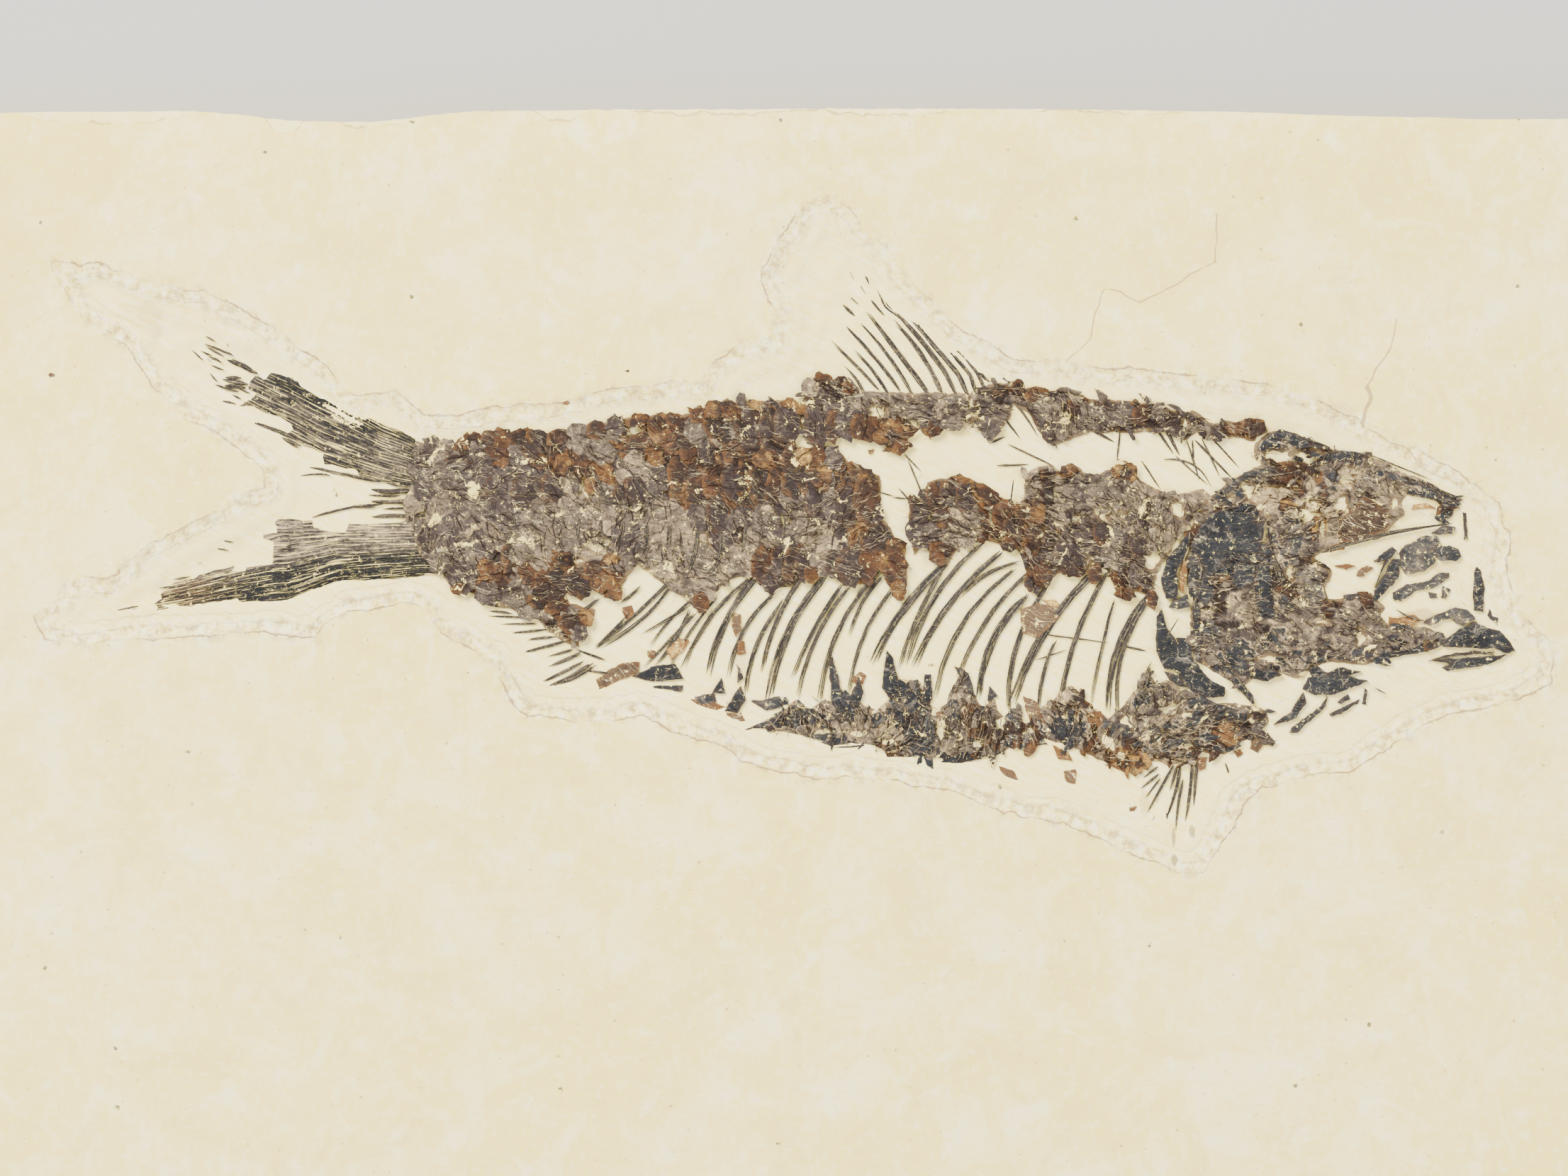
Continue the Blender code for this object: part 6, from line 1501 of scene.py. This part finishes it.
scrapOutlines = (  # amber and brown scraps: tone, height, outline
    (0.35, 7.72, -15.9,3.6, -14,5, -12.2,5.2, -12.3,4.3, -15.6,2.9), (0.6, 7.68, -8,2, -6.3,2, -5,1.3,
    -6.4,0.9), (0.45, 7.7, -5.2,0.9, -3.6,0.9, -3.1,-0.1, -4.5,0.1), (0.35, 7.7, 8,-1.7, 10,-2, 11.2,-3.4,
    9,-3.3), (0.5, 7.68, 18.2,-3.7, 19.4,-4, 20.1,-5.2, 19.3,-5.8), (0.45, 7.68, 23.7,-4.1, 24.7,-4,
    24.7,-5.1, 23.9,-5), (0.6, 7.68, 27.2,-3.6, 28.6,-3.2, 30.2,-3.5, 28.8,-4.1), (0.4, 7.72, 16,-0.4,
    18.2,-0.6, 19.2,-1.6, 18,-2.6, 16.6,-1.8), (0.45, 7.72, 20.2,2.3, 21.4,1.8, 22.1,0.4, 21.8,-1.1,
    20.8,0.2), (0.6, 7.7, -13.7,9.8, -12.9,10, -12.5,8.9, -13.4,8.7), (0.85, 7.7, -9.9,6.3, -8.9,7.2,
    -8,6.9, -8.6,6, -9.6,5.4), (0.6, 7.68, -11.5,6.1, -10.9,6.1, -10.9,5.5, -11.5,5.5), (0.4, 7.74,
    -4.3,9.4, -3.7,9.2, -3.6,8, -4.1,7.3, -4.4,8.2), (0.6, 7.72, -4,7, -3.4,6.9, -3.2,5.9, -3.9,5.8), (0.42,
    7.78, 20.2,7.6, 20,9.6, 21.4,10.2, 22.8,9.9, 23.4,9, 21.6,7.3), (0.95, 7.74, 21.8,10.4, 23,10.5,
    23.4,9.8, 22.5,9.9), (0.4, 7.8, 31,11, 31.6,10.6, 31.4,9.6, 30.6,10), (0.5, 7.7, 0.5,-2.7, 1.9,-2.5,
    1.6,-3, 0.7,-3.1), (0.55, 7.7, 5.6,3.6, 6.4,4.4, 7,4, 6.6,3), (0.5, 7.72, 12.9,0.9, 14,1.4, 14.3,0.3,
    13.2,-0.1), (0.65, 7.7, 22.8,-1.9, 24,-2.4, 24.4,-3.2, 23.2,-3.1), (0.6, 7.7, 25.6,0.9, 26.9,1,
    27.2,-0.2, 26,-0.5), (0.5, 7.7, 29.9,-2.3, 31.4,-2.1, 31.8,-3.2, 30.4,-3.3), (0.35, 7.66, 7.1,23.2,
    7.6,23.2, 7.5,22.8, 7.2,22.8), (0.5, 7.74, 35,-3, 35.8,-2.9, 35.7,-3.9, 35.1,-4.1), (0.55, 7.66,
    29.2,-7.2, 29.9,-7.1, 29.7,-7.5, 29.3,-7.5), (0.6, 7.66, 60,22.3, 60.4,22.3, 60.4,22.1))
boneStuff = boneFinish()
stainStuff = stainFinish()
tailStuff = tailFinish()


def tailLobe(name, lobe, seed):
    # a thin web; "across" runs from the lower edge to the upper, so the rays fan with the outline
    top, foot = pairs(lobe["top"]), pairs(lobe["foot"])

    def share(px, py):
        order = sorted(top), sorted(foot)
        high = np.interp(px, [k[0] for k in order[0]], [k[1] for k in order[0]])
        low = np.interp(px, [k[0] for k in order[1]], [k[1] for k in order[1]])
        return (py - low) / np.maximum(high - low, 0.5)

    def height(px, py, rim):
        ridges = 0.045 * np.sin(share(px, py) * 60.0 + noiseField(px, py, 3.0, seed) * 2.5)
        web = 7.7 + ridges + 0.03 * noiseField(px, py, 0.7, seed)
        return web - 0.14 * (1.0 - smoothRise(rim, 0.0, 0.3)) + 0.2 * smoothRise(px, -37.0, -31.0)

    web = plate(name, pairs(lobe["outline"]), height, (), 0.26, 0.1, seed)
    spots = np.array([v.co[:] for v in web.data.vertices]) / mm
    across = share(spots[:, 0], spots[:, 1])
    low, high = lobe["dark"]
    width = 0.14
    shade = smoothRise(across, low - width, low + width)
    shade = shade * (1.0 - smoothRise(across, high - width, high + width))
    give(web.data, "across", across)
    give(web.data, "along", spots[:, 0] + 31.0)
    give(web.data, "shade", lobe["murk"] + (1.0 - lobe["murk"]) * shade)
    web.data.materials.append(tailStuff)
    place(web, "fin_rays", [lobe["node"]])


for number, (name, lobe) in enumerate(tailLobes.items()):
    tailLobe(name, lobe, 31.0 + number)


# crushed bone and broken scutes packed along the keel
keel = {
    "height": 7.72,
    "seed": 71.0,
    "shards": 330,
    "lie": 80.0,
    "slot": "slate_bone",
    "nodes": [],
    "edge": (
        -3.4,-0.4, -1,0.6, 1,2.2, 2,1.2, 3.4,2.2, 4.6,1.6, 5.6,2.6, 6.8,1.6, 8,1.2, 10.8,3.8, 12.4,2.4,
        13.2,0.8, 14.8,4.4, 15.4,4.6, 16.4,2, 17,1.4, 17.8,2.4, 18.6,0.8, 19.6,1.6, 20.4,0.2, 21.6,0.6,
        23.6,3, 24.6,3.4, 25.4,2.2, 27.4,0.6, 28.6,1.4, 31,4.6, 31.8,3, 30.4,0, 30.2,-2, 30.8,-3.4, 29.4,-4,
        27.4,-3.6, 24.6,-2.2, 21.6,-1.4, 20.8,-2.6, 19.4,-2.2, 18,-3, 14,-3.6, 12.4,-3.2, 8.6,-3.4,
        7.6,-2.2),
    "gaps": (
        (7.6,0.2, 1.4,1), (13.2,-0.9, 0.6,0.8), (18.2,-0.2, 0.8,1.2), (22.6,0.4, 0.8,0.6), (26.2,0.2,
        0.8,0.8), (27.6,-1.6, 0.7,1), (16.4,-1.6, 0.7,0.9), (20.6,-0.9, 0.6,0.7), (9,-1.8, 0.8,0.6),
        (6.4,-0.9, 1.2,0.4), (12.9,1.2, 0.5,0.9), (29,-0.2, 0.7,1.2), (0.6,0.2, 1,0.4), (24.4,0.8, 0.6,0.9),
        (15.4,0.6, 0.6,1.4), (3.2,-0.8, 1.2,0.3), (10,0.4, 0.4,1), (28.6,-2.9, 0.6,0.5), (24,-1.2,
        0.5,0.5)),
    "zones": (
        (-2,0.2, 2, "slate lilac dust"), (1.2,1, 1.5, "bone slate ash"), (4.5,0.4, 2, "slate ash dust"),
        (8,0, 1.6, "dust bone ash"), (10.5,1.5, 2, "slate ash slate"), (9,-2.6, 1.4, "rust umber ash"),
        (12.4,-2, 1.6, "slate ash"), (14.6,-1.2, 1.6, "dust ash lilac"), (14.6,2.4, 1.4, "ash rust dust"),
        (17,-1, 1.6, "umber ash sepia"), (19,0, 1.4, "sepia slate ash"), (20.6,-0.8, 1, "rust umber"),
        (23,-0.4, 1.8, "slate ash"), (24.4,2, 1.6, "rust umber bone"), (26.8,-1.6, 1.4, "umber rust dust"),
        (28.6,0.2, 1.6, "ash dust lilac umber"), (30.4,2.6, 1.6, "dust ash slate"), (29.4,-3, 1.4,
        "rust honey umber")),
}
dressBody("keel", keel)
bonePlates("bellyScutes", scuteOutlines, "slate_bone", ["belly_scutes"], 41.0)
bonePlates("amberScraps", scrapOutlines, "scales", (), 42.0, stainStuff, 0.3, 0.06)
print("tail and belly built")


# head
roofPlates = (  # tone, height, outline: skull roof, snout and the bones round the mouth
    (0.1, 8.06, 41,24.4, 42,24.8, 43.2,24.6, 44.4,23.9, 46.4,23.2, 46.2,23, 44.8,23.4, 43.4,23.2, 42.2,24.1,
    41.3,24.1), (0.05, 8.04, 46,22.9, 47.4,23.1, 49.5,22.8, 49.4,22.5, 45.6,22, 44.2,21.4, 44,21.7,
    45.4,22.3), (0.15, 8, 46,21.4, 46.7,21.6, 47.3,21, 47,20.4, 46.3,20.4, 45.9,20.9), (0.05, 8.06,
    52.8,19.9, 54,19.9, 56.5,18.9, 57.5,18.9, 56.8,18.6, 52.7,19.4), (0.2, 8.04, 50.2,21.6, 53.4,20.5,
    55,20.2, 54.6,19.9, 49.9,20.9), (0.02, 7.9, 55.9,18.7, 56.6,18.6, 56.7,17.9, 56.3,17.3, 55.5,17.3,
    55.9,17.9), (0.25, 7.84, 57.5,17.9, 57.8,17.8, 57.9,15.6, 57.6,15.5), (0.4, 7.9, 52.1,14.4, 52.6,15,
    54.4,15.9, 55.4,15.8, 55.6,15.2, 55,14.6, 55.3,13.7, 54.2,12.8, 52.6,12.6, 52.2,13.4), (0.2, 7.94,
    54.9,15, 56.4,15, 57.2,14.7, 57.4,14.1, 57,13.7, 55.6,13.8, 55,14.3), (0.35, 7.88, 54.8,16.1, 55.8,16.7,
    56.9,16.6, 56.6,16, 55.6,15.9), (0.12, 7.92, 50,11.5, 51.2,13.8, 51.9,14.6, 51.6,15, 49.9,13.7,
    50.4,13.6, 51,13.9), (0.1, 7.92, 50,11.2, 51.6,13.9, 52.2,13.9, 52.1,12.4, 51.6,11.6, 50.6,10.9,
    50.2,10.2, 49.9,10.4), (0.4, 7.8, 51.6,10.4, 52.4,10.3, 53.4,11.1, 54.9,11.4, 56.3,12.2, 56.3,12.7,
    55.4,12.6, 54.6,12, 52.8,11.7, 51.6,11.1), (0.15, 7.94, 58.4,9.5, 58.4,12.7, 58.7,13.2, 59,12.9,
    59.3,11.7, 59.3,9.9, 59.2,9.4), (0.2, 7.84, 59.7,9.7, 60,9.1, 60.6,8.9, 60.4,8.2, 59.5,9.2), (0.3, 7.78,
    54.6,11.1, 55.3,11, 55.3,10.6, 54.7,10.6), (0.45, 7.78, 55.9,11.6, 56.5,11.3, 56.1,10.6, 55.6,10.6),
    (0.35, 7.92, 47.4,10.9, 49.5,11.1, 49.6,10.7, 47.6,10.4), (0.12, 7.98, 41.6,8.8, 42,11, 41.4,13.6,
    41.9,13.6, 43.4,9.6), (0.08, 7.98, 39.6,6.9, 40.4,7, 41.2,6.2, 43.4,5.6, 43,5.3, 41.6,6, 40.4,6.1),
    (0.05, 7.96, 43.8,5.6, 45,5.9, 46,5.8, 44.4,5.2), (0.15, 7.96, 46.8,5.7, 48,5.9, 49,5.6, 47,5.3), (0.2,
    8, 36.4,19.2, 39,21.2, 41.4,21.9, 41.6,21.4, 38.8,20.4, 36.6,18.8), (0.45, 8, 42.4,16.9, 43.9,17,
    44,15.4, 43.6,13.4, 42.9,13.2), (0.55, 7.98, 43.2,13.2, 44.6,13.6, 45.4,12.6, 45.9,10.6, 44.6,9.9,
    43.4,11.2))
jawPlates = (
    (0.02, 7.98, 61.9,6.1, 61.5,6.9, 60.6,7.7, 58.4,8.6, 55.8,7, 55.9,6.4, 60.2,6.3, 61.4,5.8), (0.35, 7.96,
    54.2,8.4, 54.6,8.9, 57,9.8, 57.9,9.6, 58.6,8.8, 57.6,8.2, 57,8.4, 56.6,8.9, 55.6,8.7, 55,8.2), (0.08,
    7.86, 54.9,5.3, 61.3,5.8, 59.6,4.9, 56.2,4.4, 55.7,4.7, 56.6,5), (0.1, 7.8, 54.6,5.3, 57,6, 60.2,6,
    60,5.8, 57.2,5.7), (0.02, 7.9, 50.3,5.3, 51.2,6, 51.8,6.9, 52.8,7.2, 53.6,7.1, 54,6.5, 54.7,6.1), (0.5,
    7.9, 53.6,7.4, 54.6,7.9, 55.8,7.6, 56,6.8, 55.2,6.3, 54.2,6.6))
throatPlates = (
    (0.12, 7.9, 43.9,2.9, 44.4,3.8, 46,4.2, 48,4, 49.5,3.5, 46.6,2.4, 45,2.4), (0.02, 7.94, 44.4,4.5,
    45,4.9, 46,4.3, 47.3,4.7, 49,4.3, 47.8,4, 44.8,3.9), (0.04, 7.88, 44,2.6, 44.3,1.6, 43.4,0.4, 41.5,-0.2,
    42.9,1), (0.1, 7.84, 46.1,2.3, 45.9,1.4, 45.1,0.6, 43.4,-0.8, 42.8,-0.9, 43,-0.4, 45.5,1.4), (0.15, 7.8,
    46.8,1.7, 47.8,2.4, 48,2.1, 47.2,1.6), (0.15, 7.8, 46.2,0.8, 48.8,2, 48.6,1.6, 47.2,0.8, 46.4,0.6),
    (0.2, 7.78, 49.2,2.9, 49.4,2.7, 49.3,1.5, 49,1.6), (0.35, 7.8, 41,1.2, 41.7,1, 41.2,0.8, 40.6,0.9))
coverPlates = (  # gill cover
    (0.06, 8.1, 34.4,15, 35,16.4, 36,17.6, 37,18.1, 38.5,17.8, 39.7,18, 40.1,17, 40.6,17.2, 40.6,15.6,
    40.2,14.4, 38.4,14.2, 36,12.4), (0.02, 8.06, 34.4,16.2, 32.5,14, 32,12.4, 32,11.5, 32.4,10.6, 33.2,10.4,
    33.4,11.4, 33.3,12.8, 34.3,15), (0.08, 8.02, 35.4,15.7, 34.5,14.2, 34.2,12.4, 34.3,10.8, 35,10.4,
    35.3,12, 36.4,14.9), (0.1, 8.08, 38.2,13.6, 39.2,13.9, 39.9,13.2, 39.7,11.9, 38.6,11.2, 37.9,11.8),
    (0.15, 8.04, 35.4,12.6, 36.4,12, 36.4,10.6, 35.6,9.9, 34.9,10.6), (0.06, 8.06, 40,13.4, 40.8,14,
    41.3,12.5, 41.6,8.8, 40.2,8.9, 39.9,10.6), (0.04, 8.1, 36.6,12.8, 37.4,13.6, 38.4,14, 38.8,14.6,
    37.6,14.3, 36.6,13.6), (0.02, 8.14, 39.2,17.2, 40.1,17, 40.5,15.4, 39,16, 38.6,16.6), (0.35, 8.02,
    33,10.4, 34.2,10.9, 34.4,9.8, 33.4,9.6, 32.6,9.8))
girdlePlates = (
    (0.02, 8.02, 31.6,9, 31.5,6, 32.2,4.6, 33.2,4.4, 34.4,2.8, 35.8,2.1, 37.2,2.2, 37.4,3, 36.2,3.6,
    35.2,4.6, 34.2,6.2, 33.2,7, 32.4,8.2, 32,9.6), (0.3, 7.86, 32.2,4.4, 32.6,3.6, 33.4,3.1, 34.2,3,
    33.4,4), (0.04, 8.04, 34.6,10, 34.6,7.4, 34.9,5.2, 35.3,5, 35.2,10), (0.1, 8, 33.2,7.2, 34.2,7.2,
    34.6,6.2, 34.4,5.2), (0.05, 8, 35.8,6.2, 36.8,5.6, 38.4,4, 39.8,2.2, 39.9,1.4, 36.6,4.9, 35.6,5.4),
    (0.12, 8.02, 38.4,8, 39.6,3.8, 38.6,4, 37.6,5, 37.2,6, 38,6.8), (0.2, 7.98, 36,8.8, 37.2,8.4, 37,7,
    36,7.2), (0.25, 7.9, 33.8,2.4, 35,2.6, 36.4,1.8, 38.6,1, 37.2,0.6, 34.2,1.4), (0.02, 7.94, 36.2,-1.6,
    37,-1.7, 37.5,-2.3, 36.8,-2.7, 36.2,-2.4), (0.05, 7.96, 36.4,1, 39.2,0.8, 39,0.3, 36.4,0.2), (0.02,
    8.06, 39.8,4.6, 41.5,4.6, 42.2,4.1, 41,3.6, 39.6,3.8))
eyePlates = (
    (0.25, 8.04, 47,15.3, 48.5,15.3, 51,16.4, 51.4,17.3, 51.2,18, 50.4,18.3, 49.9,19, 49,19.1, 46.8,17),
    (0.62, 7.9, 36.6,-0.3, 37,0.2, 38,0.2, 38.8,-0.4, 38.9,-1.3, 37.9,-2.1, 37.1,-1.9, 36.6,-1.1), (0.35,
    7.8, 39.7,-1.4, 40.4,-1.1, 40.8,-1.6, 40.1,-2.5, 39.5,-2.2), (0.6, 7.76, 38.1,-2.5, 38.6,-2.2,
    38.9,-2.6, 38.4,-3), (0.75, 8.04, 33.6,11.2, 33.5,12.6, 33.8,13.7, 34.1,13.6, 34.1,12.2, 33.9,11), (0.7,
    7.8, 51.2,8.2, 51.3,9, 52.4,8.9, 53.4,9.2, 54,8.6, 53.2,8.1), (0.25, 7.86, 41.4,21.6, 42.6,21.9,
    43.4,21, 43,20.6, 41.8,20.8), (0.55, 7.8, 46.6,13.3, 47.6,13.5, 48.4,13.3, 47.6,13), (0.45, 7.8,
    48.6,12.9, 49.4,13.3, 49.9,13.1, 49,12.4, 48.5,12.4), (0.45, 8, 36.8,12.6, 37.8,12.7, 37.6,11.9,
    36.9,11.9), (0.9, 7.74, 53.4,18.5, 54.6,18.6, 55.2,18.2, 53.2,18.1), (0.85, 7.78, 45.8,17.3, 46.5,17.4,
    46.4,15.9, 45.9,15.9), (0.6, 7.82, 45.2,21.4, 45.8,21.3, 45.4,20.2, 45,20.4))


cheek = {
    "height": 7.88,
    "seed": 51.0,
    "shards": 420,
    "lie": -8.0,
    "slot": "head_bone",
    "nodes": ["skull"],
    "edge": (
        34.6,16.5, 35.2,18, 36.2,19.2, 37.8,20.5, 40.4,21.9, 39.6,22.6, 40,23.7, 41,24.6, 42,24.8, 46,23.3,
        49.5,22.8, 55,20.4, 57.5,18.9, 57,18.5, 56.5,17.3, 55.6,17.2, 55.9,18.1, 55.2,18.9, 53,19.3,
        52.3,18.7, 52.6,17.6, 50.4,15.6, 45.6,14.5, 44.9,13.9, 46.5,12.9, 45.8,11.4, 46.1,10.6, 47.2,10.4,
        48.2,10.9, 49.8,11, 50.9,9.8, 50.6,9, 51.3,8.3, 54.6,8.1, 55.4,7.6, 55.7,6.6, 49.2,4.9, 46,5.1,
        44.6,4.7, 43.9,3.7, 41.6,4.4, 40,4, 38.7,3, 35,5.2, 34.4,8, 34.6,11, 34,13.6),
    "gaps": (
        (42.2,22.5, 2,1), (44.4,22.5, 2.3,1.1), (44.3,17.7, 2.6,1), (41.8,19.6, 1.5,0.9), (39.3,19.7,
        1.1,1.1), (40.2,18.3, 1.1,0.8), (47.9,21, 1.3,1.7), (47.2,18.5, 1.2,1.5), (41.4,5.4, 1.8,0.8),
        (45.4,8.5, 1.2,0.3), (42.9,12.6, 0.5,1.3), (40.9,16.4, 0.4,2.4), (45.6,16.6, 0.5,1.5), (45,18.5,
        0.8,0.5), (48.9,7.2, 0.8,1.3), (45,13.2, 0.4,1), (37.8,19, 0.6,0.4), (45.1,20.9, 0.4,1.5),
        (51.8,18.6, 0.5,1), (43.4,20.2, 0.6,0.4)),
    "zones": (
        (42.3,24, 1.4, "slate ash slate"), (45,23.4, 1, "slate umber"), (47.6,22.5, 1.6, "slate lilac ash"),
        (46.6,21.2, 0.8, "slate ash"), (48.2,21.2, 1.1, "bone dust"), (49.4,20.6, 0.8, "ash umber"),
        (52,20.6, 1.6, "dust bone ash"), (55.6,19.4, 1.6, "slate sepia slate"), (42.2,21.2, 1,
        "umber sepia rust"), (40.3,21.2, 0.8, "slate"), (38,20, 1.6, "slate ash"), (40.4,19.4, 1.2,
        "bone plum bone"), (43.6,19.6, 1.6, "bone umber rust bone honey"), (45,18.4, 1.2,
        "bone umber bone"), (45.9,16.4, 1.2, "honey bone amber dust"), (35.6,17.8, 1.6, "ash umber ash"),
        (38.4,16, 2.4, "slate"), (43.2,15.4, 1.6, "lilac slate ash"), (44.2,12.6, 1.6, "umber ash plum"),
        (47,10.2, 2, "ash umber dust ash"), (44.5,8.6, 1.8, "ash lilac dust"), (38.4,9.6, 2,
        "ash bone lilac sepia"), (37.6,6.4, 1.6, "slate lilac ash"), (42.4,5.8, 1.4, "slate ash"),
        (46.8,5.6, 1.6, "plum slate ash"), (49.6,8.4, 1.4, "bone ash lilac"), (52.4,7.4, 1.4, "slate ash"),
        (54.6,7.2, 1, "ash umber slate"), (41.4,17.2, 0.9, "bone ash"), (48.6,11.2, 1.2, "ash umber"),
        (50.6,9.6, 1, "lilac ash"), (51,16, 1.2, "bone dust")),
}
dressBody("cheek", cheek)
# crushed bone of the throat
isthmus = {
    "height": 7.8,
    "seed": 53.0,
    "shards": 110,
    "lie": 20.0,
    "slot": "head_bone",
    "nodes": [],
    "edge": (
        30.4,-3, 29.9,-1.6, 30.6,2, 31.6,3.2, 32.4,3.6, 36,1.8, 39.6,1.6, 41,0.9, 41.2,0.2, 40.4,-0.9,
        41.8,-1.5, 40.8,-1.9, 39.4,-1.5, 38.4,-1.8, 37.6,-2.6, 36.4,-2.8, 35.4,-2.4, 34.8,-3.4, 32.4,-3.6,
        31.2,-2.9),
    "gaps": (
        (32.6,1.2, 1.4,0.9), (34.3,-1.9, 0.9,0.8), (31.9,-1.2, 0.8,1.2), (34.2,0.7, 1,0.5), (39.7,0.2,
        0.6,0.5)),
    "zones": (
        (31.6,-1.6, 1.6, "ash slate umber bone"), (32,1.6, 1.6, "lilac ash bone"), (34.6,1.2, 1.8,
        "slate ash"), (37.8,1, 1.8, "slate lilac ash"), (40,-0.4, 1.4, "lilac ash plum"), (36.8,-1.6, 1.2,
        "rust slate"), (34,-2, 1.6, "ash umber slate bone")),
}
dressBody("isthmus", isthmus)
bonePlates("roofBones", roofPlates, "head_bone", (), 61.0)
bonePlates("jawBones", jawPlates, "slate_bone", ["lower_jaw"], 62.0)
bonePlates("throatBones", throatPlates, "slate_bone", ["throat_bones"], 63.0)
bonePlates("gillCover", coverPlates, "slate_bone", ["gill_cover"], 64.0)
bonePlates("shoulderGirdle", girdlePlates, "slate_bone", ["shoulder_girdle"], 65.0)
bonePlates("headStains", eyePlates, "head_bone", (), 66.0, stainStuff)
print("head built")


# studio
studio = {
    "span": 132.72,
    "centre": (0.0, 11.43),
    "lens": 100.0,
    "sensor": 36.0,
    "floorSize": 3.0,
    "floorColour": (0.4, 0.39, 0.375),
}


def plainFloor():
    mesh = bpy.data.meshes.new("studioFloor")
    half = studio["floorSize"] / 2.0
    corners = [(-half, -half, 0.0), (half, -half, 0.0), (half, half, 0.0), (-half, half, 0.0)]
    mesh.from_pydata(corners, [], [(0, 1, 2, 3)])
    kit = Finish("studioPaper")
    kit.colour = studio["floorColour"]
    mesh.materials.append(kit.finish(0.8, 0.2))
    floor = stand("studioFloor", mesh)


def softLight(name, place, size, power, colour=(1.0, 1.0, 1.0)):
    lamp = bpy.data.lights.new(name, "AREA")
    lamp.shape = "SQUARE"
    lamp.size = size
    lamp.energy = power
    lamp.color = colour
    holder = stand(name, lamp)
    holder.location = place
    towards = Vector((0.0, 0.01, 0.0)) - Vector(place)
    holder.rotation_euler = towards.to_track_quat("-Z", "Y").to_euler()


def studioLight():
    softLight("keyLight", (-0.45, 0.55, 0.6), 0.45, 29.0, (1.0, 0.98, 0.935))
    softLight("fillLight", (0.55, -0.3, 0.75), 0.9, 13.5, (1.0, 0.985, 0.95))
    world = bpy.data.worlds.new("studioWorld")
    bpy.context.scene.world = world
    world.use_nodes = True
    backdrop = world.node_tree.nodes["Background"]
    backdrop.inputs["Color"].default_value = (1.0, 1.0, 1.0, 1.0)
    backdrop.inputs["Strength"].default_value = 1.0


def lookDown():
    camera = bpy.data.cameras.new("camera")
    camera.lens = studio["lens"]
    camera.sensor_width = studio["sensor"]
    camera.clip_start = 0.01
    holder = stand("camera", camera)
    distance = studio["span"] * studio["lens"] / studio["sensor"]
    x, y = studio["centre"]
    holder.location = (x * mm, y * mm, (level["face"] + distance) * mm)
    bpy.context.scene.camera = holder


plainFloor()
studioLight()
lookDown()
